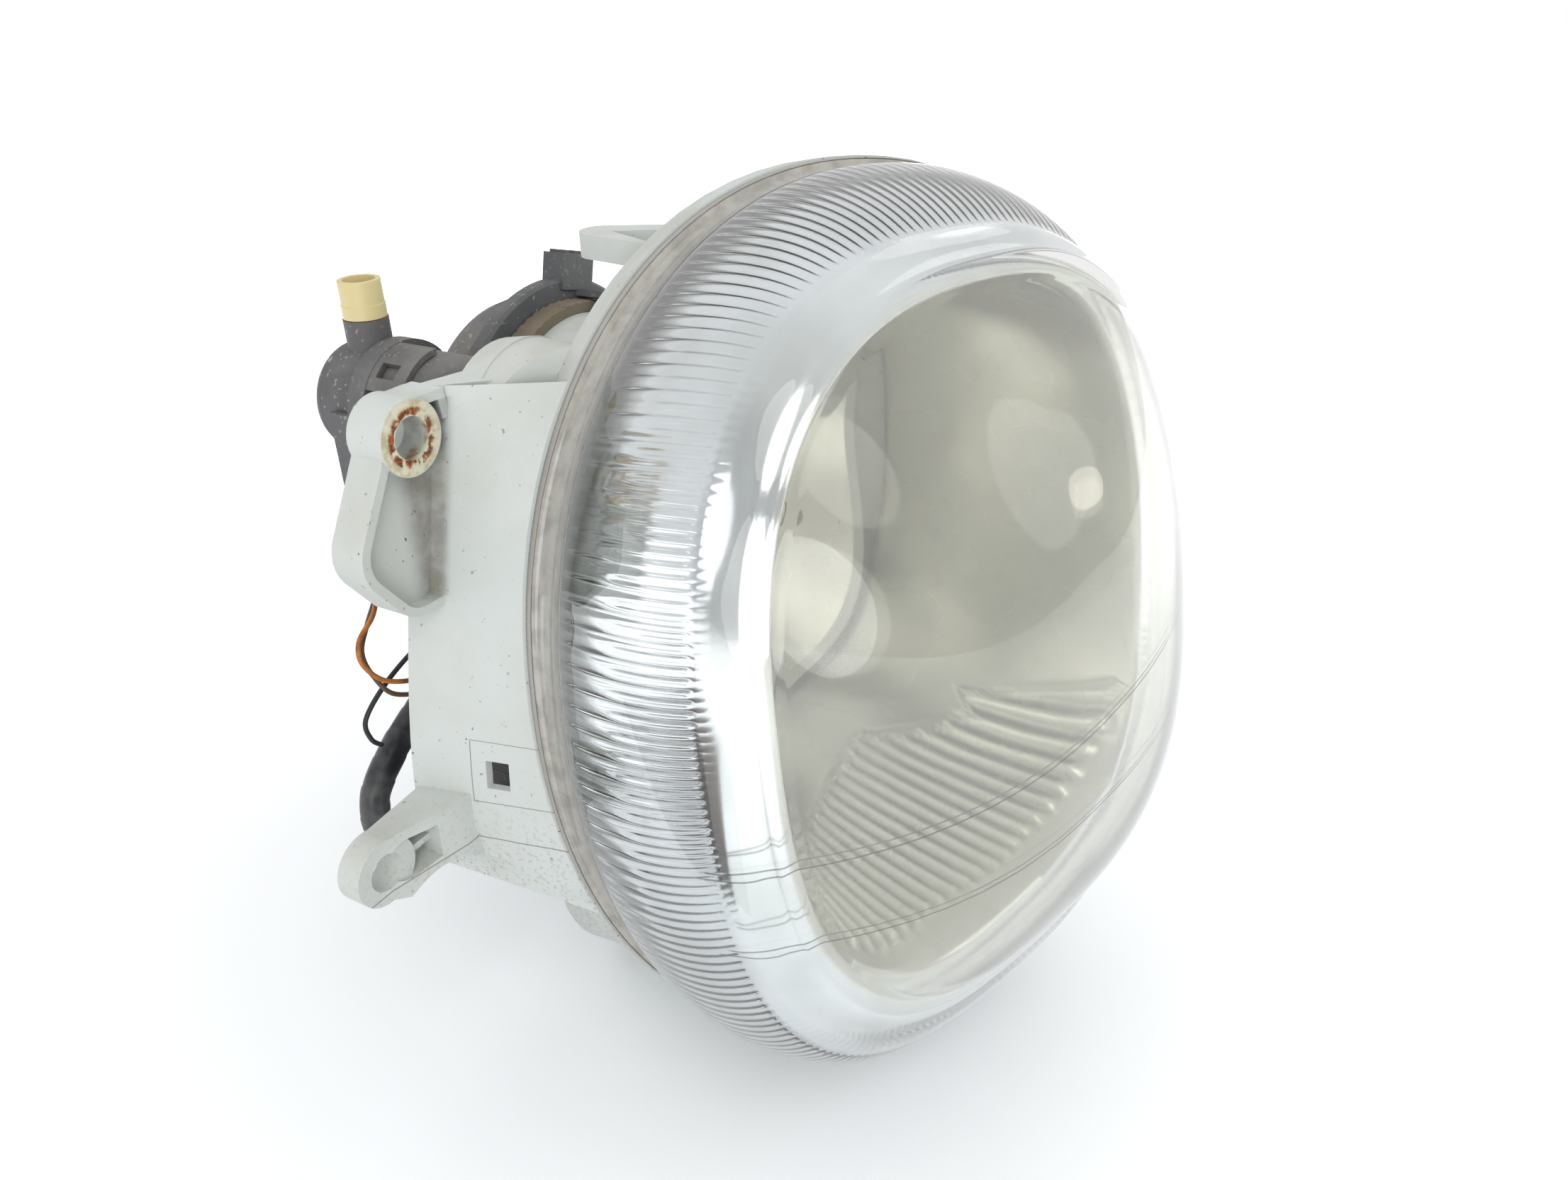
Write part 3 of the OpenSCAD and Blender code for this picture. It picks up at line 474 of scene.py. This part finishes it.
# Lens and liner, from the CAD model's sizes in millimetres: the rim's lean and sweep, its centre and its axes
RAKE, SWEEP = math.radians(10), math.radians(30)
RIM_C = Vector((97.5, -81, -81))
E_X = Vector((math.cos(SWEEP), -math.sin(SWEEP), 0))
E_Y = Vector((math.sin(SWEEP) * math.sin(RAKE), math.cos(SWEEP) * math.sin(RAKE), math.cos(RAKE)))
E_W = Vector((-math.sin(SWEEP) * math.cos(RAKE), -math.cos(SWEEP) * math.cos(RAKE), math.sin(RAKE)))
# Heights of the seam and the lip over the rim, the dome's own height, and the arc that the skirt bends by
SKIRT_H, LIP_H, DOME_H = 53.5, 66.0, 40.0
SKIRT_ARC = math.radians(55)
LENS_WALL = 3.2
# The flutes' number, depth and twist on their way up the skirt
FLUTES = 120
FLUTE_D = 0.5
TWIST = math.radians(3)
# Points round a ring, and round a plain one
ROUND = 8 * FLUTES
PLAIN_ROUND = 192
# An edge stays sharp above this angle
SHARP = math.radians(50)


def from_lens(x, y, w):
    """A point given in the lens's own axes: across, up and out of the rim's plane."""
    return (RIM_C + x * E_X + y * E_Y + w * E_W) * MM


def oval_r(t, ax, ay, ex):
    """Radius at an angle of an oval with rounded corners."""
    return ((abs(math.cos(t)) / ax) ** ex + (abs(math.sin(t)) / ay) ** ex) ** (-1 / ex)


# A section of the lens: its height and tilt, and its oval's half sizes, exponent, turn and centre
Oval = namedtuple("Oval", "height tilt half_x half_y power turn x y")
RIM = Oval(0, 0, 110, 137.5, 2.13, math.radians(-4.7), 0, 0)
SEAM = Oval(SKIRT_H, -0.25, 95.5, 113, 2.55, 0, 0, 6)
LIP = Oval(LIP_H, -0.25, 86, 100, 2.55, 0, 0, 13)


def inset(q, d, up=0.0):
    """The section moved in by d and up by up."""
    return q._replace(height=q.height + up, half_x=q.half_x - d, half_y=q.half_y - d)


def between(p, q, f, g):
    """A section between two: g is the share for the height and the tilt, and f for the oval."""
    return Oval(*(a + (b - a) * (g if k < 2 else f) for k, (a, b) in enumerate(zip(p, q))))


def skirt(u):
    """The skirt's section at a share of the way from the rim to the seam."""
    return between(RIM, SEAM, (1 - math.cos(SKIRT_ARC * u)) / (1 - math.cos(SKIRT_ARC)),
                   math.sin(SKIRT_ARC * u) / math.sin(SKIRT_ARC))


def ring(q, depth=None, n=ROUND, lift=0.0):
    """Points of an oval section; depth gives how far in a point lies at a share of the way round."""
    out = []
    for i in range(n):
        t = math.tau * i / n - TWIST * q.height / SKIRT_H
        r = oval_r(t - q.turn, q.half_x, q.half_y, q.power) - (depth(i / n) if depth else 0)
        x = r * math.cos(t) + q.x
        y = r * math.sin(t) + q.y
        out.append(from_lens(x, y, q.height + q.tilt * x + lift))
    return out


def flutes(depth, second=0.0):
    """Grooves all round, and a second set between them nearer the front and on the lower and upper sides."""
    def groove(share):
        main = (0.5 + 0.5 * math.cos(math.tau * FLUTES * share)) ** 3
        between_them = (0.5 - 0.5 * math.cos(math.tau * FLUTES * share)) ** 3
        return depth * (main + between_them * max(second, dense(share)))
    return groove


def dense(share):
    """How far the second set of grooves reaches: 1 at the lower and upper left, 0 at the sides."""
    low = max(0.0, -math.sin(math.tau * share) - 0.25) / 0.3
    high = max(0.0, math.sin(math.tau * share) - 0.55) / 0.3
    return min(1.0, max(low, high))


# How far the dome's foot lies in from the lip's edge and forward of it, and the power of the dome's curve
DOME_IN, DOME_RISE, DOME_POWER = 3, 2.5, 2.3
# The dome's rings, as shares of its foot
DOME_STEPS = [0.985, 0.96, 0.92, 0.86, 0.78, 0.69, 0.6, 0.5, 0.4, 0.3, 0.2, 0.1]


def dome_ring(r, d):
    """The dome's section at a share of its foot, moved in by d."""
    half_x, half_y = LIP.half_x - DOME_IN - d, LIP.half_y - DOME_IN - d
    q = LIP._replace(height=LIP_H - d, half_x=half_x * r, half_y=half_y * r)
    return ring(q, lift=DOME_RISE + DOME_H * (1 - r ** DOME_POWER))


# Shares of the way up the skirt: the ends of the flutes, their fades, the second set's start, and the foot
FLUTES_FROM, FLUTES_TO = 0.2, 0.97
FADE_FROM, FADE_TO = 0.06, 0.05
SECOND_FROM, SECOND_RISE = 0.5, 0.06
FOOT_IN, FOOT_OUT = 0.12, 0.11
# The flange: its wall, how far its tongue goes down into the groove and starts in from the rim, and its top's
# corners as distances in and up. A fillet leads from it into the skirt.
FLANGE_WALL, TONGUE_DOWN, TONGUE_IN = 6, 6, 3
FLANGE_TOP = ((0, 0), (0, 3), (0.5, 3.7), (1.5, 4))
FILLET, FILLET_UP = 3.2, 0.24
# The lip: shares of the way from the seam for its oval and its height, and its top's distances in and up
LIP_CURVE = ((0.18, 0.3), (0.36, 0.53), (0.55, 0.72), (0.78, 0.88))
LIP_TOP = ((0, 1), (0.5, 2.0), (1.6, 2.6))
INNER_ROWS, OUTER_ROWS = 25, 14


def fluted_row(k):
    """A ring of the skirt's inner side, counted from the front."""
    u = FLUTES_TO - (FLUTES_TO - FLUTES_FROM) * k / (INNER_ROWS - 1)
    fade = min(1.0, (FLUTES_TO - u) / FADE_TO, (u - FLUTES_FROM) / FADE_FROM)
    second = min(1.0, max(0.0, (u - SECOND_FROM) / SECOND_RISE))
    return ring(inset(skirt(u), LENS_WALL), flutes(FLUTE_D * max(0.0, fade), second))


def outer_row(k):
    """A ring of the skirt's outer side, counted from the flange."""
    u = FOOT_OUT + (1 - FOOT_OUT) * k / OUTER_ROWS
    return ring(inset(skirt(u), FILLET * max(0.0, 1 - (u - FOOT_OUT) / FILLET_UP) ** 2))


def lens_parts():
    """The rings of the lens from inside its crown to outside it, with the haze and the tint of each part.

    The tint is a list for the first rings of a part: the flange is tinted by the compound behind it.
    """
    crown = LIP_H + DOME_H + DOME_RISE
    foot = [ring(inset(skirt(FOOT_IN), FLANGE_WALL)), ring(inset(RIM, FLANGE_WALL, -TONGUE_DOWN)),
            ring(inset(RIM, TONGUE_IN, -TONGUE_DOWN)), ring(inset(RIM, TONGUE_IN))]
    foot += [ring(inset(RIM, d, up)) for d, up in FLANGE_TOP] + [ring(inset(skirt(FOOT_OUT), FILLET))]
    lip = [ring(between(SEAM, LIP, f, g)) for f, g in LIP_CURVE]
    lip += [ring(inset(LIP, d, up)) for d, up in LIP_TOP]
    return [
        ([[from_lens(0, LIP.y, crown - LENS_WALL)]], 1, []),
        ([dome_ring(r, LENS_WALL) for r in reversed(DOME_STEPS)], 1, []),
        ([ring(inset(LIP, LENS_WALL, -1)), ring(inset(SEAM, LENS_WALL, -0.5))], 0.2, []),
        ([fluted_row(k) for k in range(INNER_ROWS)], 0, [0] * (INNER_ROWS - 2) + [0.15] * 2),
        (foot, 0, [1] * 8 + [0.8]),
        ([outer_row(k) for k in range(1, OUTER_ROWS + 1)], 0.04, [0.4]),
        (lip, 0.2, []),
        ([dome_ring(r, 0) for r in DOME_STEPS], 1, []),
        ([[from_lens(0, LIP.y, crown)]], 1, []),
    ]


def tint_of(rings, tints):
    """The tint at each point of a part."""
    rows = tints + [0] * (len(rings) - len(tints))
    return [tint for r, tint in zip(rings, rows) for _ in r]


def mould_lines(s):
    """Two fine slanting lines across the lower part of the dome."""
    centre = RIM_C * MM
    slant = s.math("SUBTRACT", s.dot(centre, E_Y), s.math("MULTIPLY", s.dot(centre, E_X), 0.247))
    marks = s.math("ADD", s.line(slant, 0.007, 0.0003), s.line(slant, -0.017, 0.0003), clamp=True)
    return s.math("MULTIPLY", marks, s.step(s.dot(centre, E_W), 0.07, 0.072))


def lens_material():
    """Clear plastic, dulled by haze on the dome, tinted at the flange and marked by the mould's lines."""
    s = Shade("lens_plastic")
    cloud = s.attribute("haze")
    band = s.attribute("tint")
    uneven = s.step(s.noise(60, 6, 0.65), 0.3, 0.7, 0.8, 1.0)
    fog = s.math("MULTIPLY", cloud, uneven, clamp=True)
    worn = s.step(s.noise(700, 2), 0.68, 0.74, 0.0, 0.5)
    marks = mould_lines(s)
    tone = s.mix(fog, srgb(0.985, 0.99, 0.99), srgb(0.9, 0.9, 0.865))
    taupe = s.mix(s.step(s.noise(200, 3), 0.35, 0.7), srgb(0.71, 0.7, 0.67), srgb(0.62, 0.61, 0.58))
    clear = s.math("SUBTRACT", s.step(fog, 0, 1, 1.0, 0.87), s.math("MULTIPLY", band, 0.85), clamp=True)
    clear = s.math("SUBTRACT", clear, s.math("MULTIPLY", marks, 0.35), clamp=True)
    scuffs = s.math("MULTIPLY", worn, s.math("MULTIPLY", fog, 0.1))
    s.set(Base_Color=s.mix(marks, s.mix(band, tone, taupe), srgb(0.5, 0.5, 0.48)),
          Roughness=s.math("ADD", s.step(fog, 0, 1, 0.02, 0.04), scuffs), Transmission_Weight=clear, IOR=1.5)
    return s


def make_lens():
    parts = lens_parts()
    mesh = skin("lens_clear", [r for rings, _, _ in parts for r in rings])
    spread(mesh, "haze", [haze for rings, haze, _ in parts for r in rings for _ in r])
    spread(mesh, "tint", [tint for rings, _, tints in parts for tint in tint_of(rings, tints)])
    obj = add("lens_moulding", mesh, lens_material())
    mesh.set_sharp_from_angle(angle=SHARP)
    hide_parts("lens")


make_lens()

# The mirror's axis, where the liner's opening ends along it, and the liner's wall
AXIS_X, AXIS_Z = 104.0, -46.0
OPEN_Y = -50.0
BEZEL_T = 1.8
# The opening's oval at its back end: half sizes and exponent
OPEN_X, OPEN_Z, OPEN_POWER = 66.5, 74.0, 2.4
# How far the liner lies in from the lens's inner side along the skirt and at the lip, and its ribs' depth
LINER_GAP, SHELF_GAP, SHELF_FLUTE = 4.5, 6.5, 1.6


def open_ring(d, y):
    """The opening's edge, moved out by d."""
    out = []
    for i in range(ROUND):
        t = math.tau * i / ROUND
        r = oval_r(t, OPEN_X + d, OPEN_Z + d, OPEN_POWER)
        out.append(Vector((AXIS_X + r * math.cos(t), y, AXIS_Z + r * math.sin(t))) * MM)
    return out


def liner(u, d):
    """A ring of the liner behind the skirt, moved in by d."""
    return ring(inset(skirt(u), LENS_WALL + LINER_GAP + d))


def blend_rings(a, b, f):
    return [p.lerp(q, f) for p, q in zip(a, b)]


# Where the shelf's ribs begin and end: the share of the way round, and the share of the way back
RIB_FRONT = ((0.6, 0.0), (0.66, 0.05), (0.72, 0.12), (0.79, 0.1), (0.845, 0.08), (0.92, 0.02))
RIB_BACK = ((0.6, 0.0), (0.665, 0.5), (0.713, 0.65), (0.762, 0.72), (0.83, 0.5), (0.84, 0.47), (0.848, 0.53),
            (0.907, 0.1), (0.92, 0.02))
RIB_PITCH = 0.006
SHELF_ROWS = 50
# The painted shade of the plain liner, between the painted shade of a valley and the painted highlight of a
# crest
PLAIN_RIB_SHADING = 0.6


def level(points, share):
    """Straight stretches between points; the first and last level hold outside them."""
    for (x0, y0), (x1, y1) in zip(points, points[1:]):
        if share <= x1:
            return y0 + (y1 - y0) * max(0.0, (share - x0) / (x1 - x0))
    return points[-1][1]


def rib_height(place, share, f):
    """Ribs along the lamp's axis, with a fine bead along their back end; 0 in a valley, 1 on a crest."""
    start, end = level(RIB_FRONT, share), level(RIB_BACK, share)
    held = min(1.0, max(0.0, min(end - f, f - start) / 0.02))
    rib = (0.5 - 0.5 * math.cos(math.tau * place.x / RIB_PITCH)) * held
    bead = max(0.0, 1 - abs(f - end) / 0.025) if end > start + 0.01 else 0.0
    return max(rib, bead), held


def liner_rings():
    """The rings of the liner, and the height of the ribs at each of their points, which also sets their
    painted shade and highlight.
    """
    front, back = ring(inset(LIP, LENS_WALL + SHELF_GAP, -5)), open_ring(0, OPEN_Y)
    front_up = ring(inset(LIP, LENS_WALL + SHELF_GAP + SHELF_FLUTE, -5))
    back_up = open_ring(-SHELF_FLUTE, OPEN_Y)
    behind, edge = ring(inset(LIP, LENS_WALL + SHELF_GAP, -9)), open_ring(BEZEL_T, OPEN_Y + 1)
    rings = [edge] + [blend_rings(edge, behind, k / 4) for k in (1, 2, 3)] + [behind]
    rings += [liner(u, BEZEL_T) for u in (0.86, 0.65, 0.5, 0.38, 0.25, 0.12)]
    rings += [liner(u, 0) for u in (0.12, 0.25, 0.38, 0.5, 0.62, 0.74, 0.86, 0.97)]
    rings += [ring(inset(between(SEAM, LIP, f, g), LENS_WALL + LINER_GAP, -3))
              for f, g in ((0.36, 0.53), (0.7, 0.82))]
    rings += [ring(inset(LIP, LENS_WALL + LINER_GAP + d, up)) for d, up in ((0.1, -3.2), (1.1, -3.4))]
    # Painted shade: a mid tone on the plain liner; on the shelf, dark in the ribs' valleys and light on their
    # crests
    rib_shading = [PLAIN_RIB_SHADING for r in rings for _ in r]
    for k in range(SHELF_ROWS + 1):
        f = k / SHELF_ROWS
        row = []
        for i, (a, b) in enumerate(zip(blend_rings(front, back, f), blend_rings(front_up, back_up, f))):
            height, held = rib_height(a, i / ROUND, f)
            row.append(a.lerp(b, height))
            rib_shading.append(PLAIN_RIB_SHADING + (height - PLAIN_RIB_SHADING) * held)
        rings.append(row)
    return rings, rib_shading


def liner_material():
    """Bright metal, duller on the shelf and its walls, with painted shade between the ribs and a painted
    highlight on their crests.
    """
    s = Shade("liner_silver")
    tone = s.step(s.noise(30, 2), 0.3, 0.75)
    dull = s.attribute("inner")
    silver = s.mix(tone, srgb(0.9, 0.915, 0.93), srgb(0.82, 0.835, 0.84))
    # The shelf's colour is painted shade, dark in the valleys between the ribs, and a painted highlight,
    # light on their crests
    shelf = s.mix(s.step(s.attribute("crest"), 0, 1), srgb(0.7, 0.71, 0.69), srgb(0.96, 0.96, 0.94))
    s.set(Base_Color=s.mix(dull, silver, shelf), Metallic=1.0,
          Roughness=s.math("ADD", s.step(tone, 0, 1, 0.1, 0.16), s.math("MULTIPLY", dull, 0.14)))
    return s


def make_liner():
    rings, rib_shading = liner_rings()
    mesh = skin("bezel_liner", rings, loop=True)
    plain = (len(rings) - SHELF_ROWS - 1) * ROUND
    spread(mesh, "inner", [1.0 if k > plain else 0.0 for k in range(len(rib_shading))])
    # Stores the ribs' painted shade and highlight for the liner's material
    spread(mesh, "crest", rib_shading)
    obj = add("bezel_liner", mesh, liner_material())
    mesh.set_sharp_from_angle(angle=SHARP)
    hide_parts("bezel")


make_liner()

# The mirror's focal length and the radius of its bulb hole
FOCAL = 24.0
HOLE_R = 19.0
# The coat's outer oval: half sizes
COAT_X, COAT_Z = 59.3, 66.8
# How far the coat lies in front of the shell, its thickness, its steps outwards, and the position lamp's hole
COAT_LIFT, COAT_T = 0.35, 0.2
MIRROR_STEPS = 24
SMALL_HOLE_X, SMALL_HOLE_Z, SMALL_HOLE_R = AXIS_X + 34, AXIS_Z - 26, 6.6


def make_mirror():
    rows = []
    for k in range(MIRROR_STEPS + 1):
        row = []
        for i in range(PLAIN_ROUND):
            t = math.tau * i / PLAIN_ROUND
            r = HOLE_R + (oval_r(t, COAT_X, COAT_Z, OPEN_POWER) - HOLE_R) * k / MIRROR_STEPS
            y = -r * r / 4 / FOCAL - COAT_LIFT
            row.append(Vector((AXIS_X + r * math.cos(t), y, AXIS_Z + r * math.sin(t))) * MM)
        rows.append(row)
    under = [[p + Vector((0, COAT_T * MM, 0)) for p in row] for row in reversed(rows)]
    mesh = skin("mirror_coat", rows + under, loop=True)
    hole = Vector((SMALL_HOLE_X * MM, 0, SMALL_HOLE_Z * MM))
    work = bmesh.new()
    work.from_mesh(mesh)
    inside = [f for f in work.faces if math.hypot(*(f.calc_center_median() - hole).xz) < SMALL_HOLE_R * MM]
    bmesh.ops.delete(work, geom=inside, context="FACES")
    bmesh.ops.holes_fill(work, edges=[e for e in work.edges if e.is_boundary], sides=0)
    work.to_mesh(mesh)
    work.free()
    s = Shade("mirror_silver")
    silver = s.mix(s.step(s.noise(26, 2), 0.3, 0.75), srgb(0.93, 0.93, 0.91), srgb(0.89, 0.89, 0.865))
    s.set(Base_Color=silver, Metallic=1.0, Roughness=s.step(s.noise(40, 3), 0.3, 0.7, 0.25, 0.33))
    obj = add("mirror_coat", mesh, s, "mirror")
    mesh.set_sharp_from_angle(angle=math.radians(40))


make_mirror()

# Finishes of the CAD nodes

# Places on the housing in metres: the upper hole and its boss, the window's frame, a mould line and the ear
HOLE, BOSS = 0.0056, 0.01
FRAME_Y, FRAME_LOW, FRAME_HIGH = -0.006, -0.108, -0.088
LOW_LINE_Z, LOW_LINE_Y = -0.1215, 0.01
SIDE_X = 0.031
EAR_LOW, EAR_HIGH = -0.0467, 0.0062


def boss_finish(s, tone):
    """Creamy bare plastic on the upper hole's boss, with a broken ring of rust round the hole."""
    away = s.from_axis(0, 0)
    _, py, _ = s.split(s.place)
    within = s.step(away, BOSS - 0.0004, BOSS + 0.0004, 1, 0)
    face = s.math("MULTIPLY", s.step(py, 0.0005, 0.0015, 1, 0), within)
    cream = s.mix(s.step(s.noise(300, 3), 0.4, 0.65), srgb(0.84, 0.82, 0.73), srgb(0.72, 0.68, 0.56))
    tone = s.mix(face, tone, cream)
    wobble = s.math("ADD", away, s.math("MULTIPLY", s.math("SUBTRACT", s.noise(240, 4), 0.5), 0.0022))
    outer = s.step(wobble, HOLE + 0.0018, HOLE + 0.0027, 1, 0)
    band = s.math("MULTIPLY", s.step(wobble, HOLE, HOLE + 0.0005), outer)
    broken = s.step(s.noise(330, 4), 0.42, 0.52)
    rust = s.mix(s.step(s.noise(700, 3), 0.4, 0.6), srgb(0.62, 0.34, 0.13), srgb(0.36, 0.2, 0.1))
    stain = s.math("MULTIPLY", s.math("MULTIPLY", band, broken), s.step(py, 0.004, 0.006, 1, 0))
    return s.mix(stain, tone, rust)


def engraved_lines(s, tone):
    """The engraved frame round the window and a mould line, both on the side wall."""
    px, py, pz = s.split(s.place)
    side = s.step(px, SIDE_X - 0.001, SIDE_X + 0.001, 1, 0)
    above = s.step(pz, FRAME_LOW - 0.0005, FRAME_LOW)
    tall = s.math("MULTIPLY", above, s.step(pz, FRAME_HIGH - 0.0005, FRAME_HIGH, 1, 0))
    post = s.math("MULTIPLY", s.line(py, FRAME_Y, 0.0002), tall)
    rails = s.math("ADD", s.line(pz, FRAME_LOW, 0.0002), s.line(pz, FRAME_HIGH, 0.00016), clamp=True)
    rails = s.math("MULTIPLY", rails, s.step(py, FRAME_Y, FRAME_Y + 0.0005, 1, 0))
    forward = s.step(py, LOW_LINE_Y, LOW_LINE_Y + 0.0005, 1, 0)
    low_line = s.math("MULTIPLY", s.line(pz, LOW_LINE_Z, 0.0003), forward)
    lines = s.math("MAXIMUM", s.math("MAXIMUM", post, rails), low_line)
    return s.mix(s.math("MULTIPLY", s.math("MULTIPLY", lines, side), 0.7), tone, srgb(0.4, 0.385, 0.35))


def ear_corner_shade_and_dirt(s, tone):
    """Darkening in the corner between the upper ear and the side wall: painted shade, with some dirt."""
    px, py, pz = s.split(s.place)
    across = s.math("MULTIPLY", s.step(py, -0.001, 0.003), s.step(py, 0.0086, 0.0088, 1, 0))
    corner = s.math("MULTIPLY", across, s.step(px, -0.005, 0.003))
    below = s.step(pz, EAR_HIGH - 0.0002, EAR_HIGH + 0.0003, 1, 0)
    above = s.step(pz, EAR_LOW - 0.0008, EAR_LOW + 0.0007)
    # Painted shade, with some dirt, in the corner by the upper ear
    shade_and_dirt = s.math("MULTIPLY", s.math("MULTIPLY", corner, below), above)
    uneven = s.step(s.noise(160, 3), 0.25, 0.65, 0.45, 0.75)
    return s.mix(s.math("MULTIPLY", shade_and_dirt, uneven), tone, srgb(0.42, 0.4, 0.35))


def low_specks(s, tone):
    """Dirt that thickens towards the bottom."""
    _, _, pz = s.split(s.place)
    low = s.math("MULTIPLY", s.step(pz, -0.15, -0.09, 1, 0), s.step(s.noise(650, 4), 0.52, 0.66))
    return s.mix(s.math("MULTIPLY", low, 0.45), tone, srgb(0.5, 0.485, 0.44))


def housing_material():
    s = moulded("housing_plastic", srgb(0.765, 0.785, 0.775), srgb(0.69, 0.68, 0.63), srgb(0.33, 0.32, 0.29),
                speck_level=0.68, rough=(0.45, 0.62), dusty=0.55, grain=1500, bump=0.1)
    tone = s.bsdf.inputs["Base Color"].links[0].from_socket
    # One of these finishes paints shade, with some dirt, into the corner by the upper ear
    for finish in (boss_finish, engraved_lines, ear_corner_shade_and_dirt, low_specks):
        tone = finish(s, tone)
    s.set(Base_Color=tone)
    return s


def metal(name, colour, dark):
    s = Shade(name)
    worn = s.step(s.noise(80, 4), 0.4, 0.7)
    s.set(Base_Color=s.mix(worn, colour, dark), Metallic=1.0, Roughness=s.step(worn, 0, 1, 0.25, 0.45))
    s.bump(s.noise(1200, 2), 0.08, 0.0002)
    return s


def clear_glass(name):
    s = Shade(name)
    s.set(Base_Color=srgb(0.97, 0.98, 0.98), Roughness=s.step(s.noise(60, 3), 0.3, 0.7, 0.02, 0.06),
          Transmission_Weight=1.0, IOR=1.5)
    return s


def refined(node, shade, width, angle):
    """A copy of a CAD node with its facets joined, its edges rounded and its curves smooth."""
    mesh = nodes[node].data.copy()
    mesh.name = node + "_piece"
    for name in ("custom_normal", "sharp_edge", "sharp_face"):
        if name in mesh.attributes:
            mesh.attributes.remove(mesh.attributes[name])
    work = bmesh.new()
    work.from_mesh(mesh)
    bmesh.ops.remove_doubles(work, verts=work.verts, dist=2e-6)
    bmesh.ops.dissolve_limit(work, angle_limit=math.radians(0.3), verts=work.verts, edges=work.edges)
    work.to_mesh(mesh)
    work.free()
    obj = add(node + "_piece", mesh, shade, nodes[node]["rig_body"])
    mesh.set_sharp_from_angle(angle=math.radians(angle))
    if width:
        edge = obj.modifiers.new("edges", "BEVEL")
        edge.width = width
        edge.segments = 2
        edge.limit_method = "ANGLE"
        edge.angle_limit = math.radians(angle)
        edge.use_clamp_overlap = True
        edge.harden_normals = False
    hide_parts(node)


housing = housing_material()
motor_dark = moulded("motor_dark", srgb(0.33, 0.33, 0.34), srgb(0.52, 0.51, 0.49), srgb(0.62, 0.6, 0.56),
                     speck_level=0.62, rough=(0.55, 0.75), dusty=0.75, grain=1300, bump=0.2)
cover_dark = moulded("cover_dark", srgb(0.31, 0.32, 0.33), srgb(0.5, 0.49, 0.47), srgb(0.6, 0.58, 0.54),
                     speck_level=0.62, rough=(0.55, 0.78), dusty=0.7, grain=1300, bump=0.2)
black_soft = moulded("black_soft", srgb(0.16, 0.16, 0.165), srgb(0.34, 0.33, 0.31), srgb(0.4, 0.39, 0.36),
                     speck_level=0.66, rough=(0.5, 0.7), dusty=0.6, grain=1600, bump=0.15)
brown_seal = moulded("brown_seal", srgb(0.44, 0.4, 0.34), srgb(0.56, 0.52, 0.45), srgb(0.25, 0.22, 0.19),
                     speck_level=0.66, rough=(0.6, 0.8), dusty=0.6, grain=1600, bump=0.2)
beige = moulded("beige_aged", srgb(0.83, 0.77, 0.57), srgb(0.74, 0.68, 0.52), srgb(0.4, 0.34, 0.24),
                speck_level=0.72, rough=(0.35, 0.5), dusty=0.5, grain=1400, bump=0.06)
pale = moulded("pale_nylon", srgb(0.88, 0.88, 0.84), srgb(0.78, 0.77, 0.72), srgb(0.5, 0.49, 0.45),
               speck_level=0.72)
steel = metal("plain_steel", srgb(0.72, 0.72, 0.7), srgb(0.5, 0.49, 0.46))
shell_back = moulded("shell_back", srgb(0.8, 0.81, 0.81), srgb(0.7, 0.7, 0.68), srgb(0.4, 0.4, 0.38),
                     speck_level=0.7)
glass = clear_glass("bulb_glass_clear")

# Each CAD node's finish, the width of its rounded edges in metres, and the angle that makes an edge sharp
FINISHES = {
    "housing": (housing, 0, 40),
    "snap_tab": (black_soft, 0.0002, 38),
    "cover_seal": (brown_seal, 0.0002, 30),
    "rear_cover": (cover_dark, 0.0004, 38),
    "motor_housing": (motor_dark, 0.0005, 38),
    "motor_end_cap": (motor_dark, 0.0002, 50),
    "motor_clip": (motor_dark, 0.0003, 38),
    "motor_plug": (black_soft, 0.0006, 38),
    "motor_spindle": (pale, 0.0001, 38),
    "adjuster_shaft": (beige, 0.0002, 38),
    "pivot_stud": (steel, 0.0002, 38),
    "pivot_socket": (pale, 0.0002, 38),
    "motor_socket": (pale, 0.0002, 38),
    "aim_socket": (pale, 0.0002, 38),
    "reflector": (shell_back, 0, 38),
    "aim_screw": (steel, 0.0001, 38),
    "aim_knob": (black_soft, 0.0003, 30),
    "bulb_base": (steel, 0.0002, 38),
    "bulb_glass": (glass, 0, 38),
    "bulb_clip": (steel, 0, 38),
    "bulb_connector": (black_soft, 0.0006, 38),
    "parking_holder": (black_soft, 0.0003, 38),
    "parking_bulb": (glass, 0, 38),
    "vent_cap": (black_soft, 0.0004, 38),
    "grommet": (black_soft, 0.0008, 38),
    "harness_connector": (black_soft, 0.0006, 38),
}
for node, (shade, width, angle) in FINISHES.items():
    refined(node, shade, width, angle)


# The compound in the groove and the band of it round the flange: how far in and up each corner lies
BEAD_SECTION = ((2.3, -8.1), (2.3, -6.1), (6.7, -6.1), (6.7, -8.1))
BAND_SECTION = ((-0.15, 0), (-0.55, 0.2), (-0.6, 2.4), (-0.3, 3.1), (-0.1, 3.1))


def make_seal():
    bead, band = ([ring(inset(RIM, d, up), n=PLAIN_ROUND) for d, up in section]
                  for section in (BEAD_SECTION, BAND_SECTION))
    s = moulded("set_compound", srgb(0.59, 0.58, 0.555), srgb(0.68, 0.67, 0.645), srgb(0.4, 0.385, 0.355),
                speck_level=0.7, rough=(0.25, 0.4), dusty=0.5, grain=900, bump=0.1)
    obj = add("seal_bead", skin("seal_bead", bead, loop=True), s)
    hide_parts("lens_seal")
    shown = add("seal_band", skin("seal_band", band, loop=True), s)


make_seal()
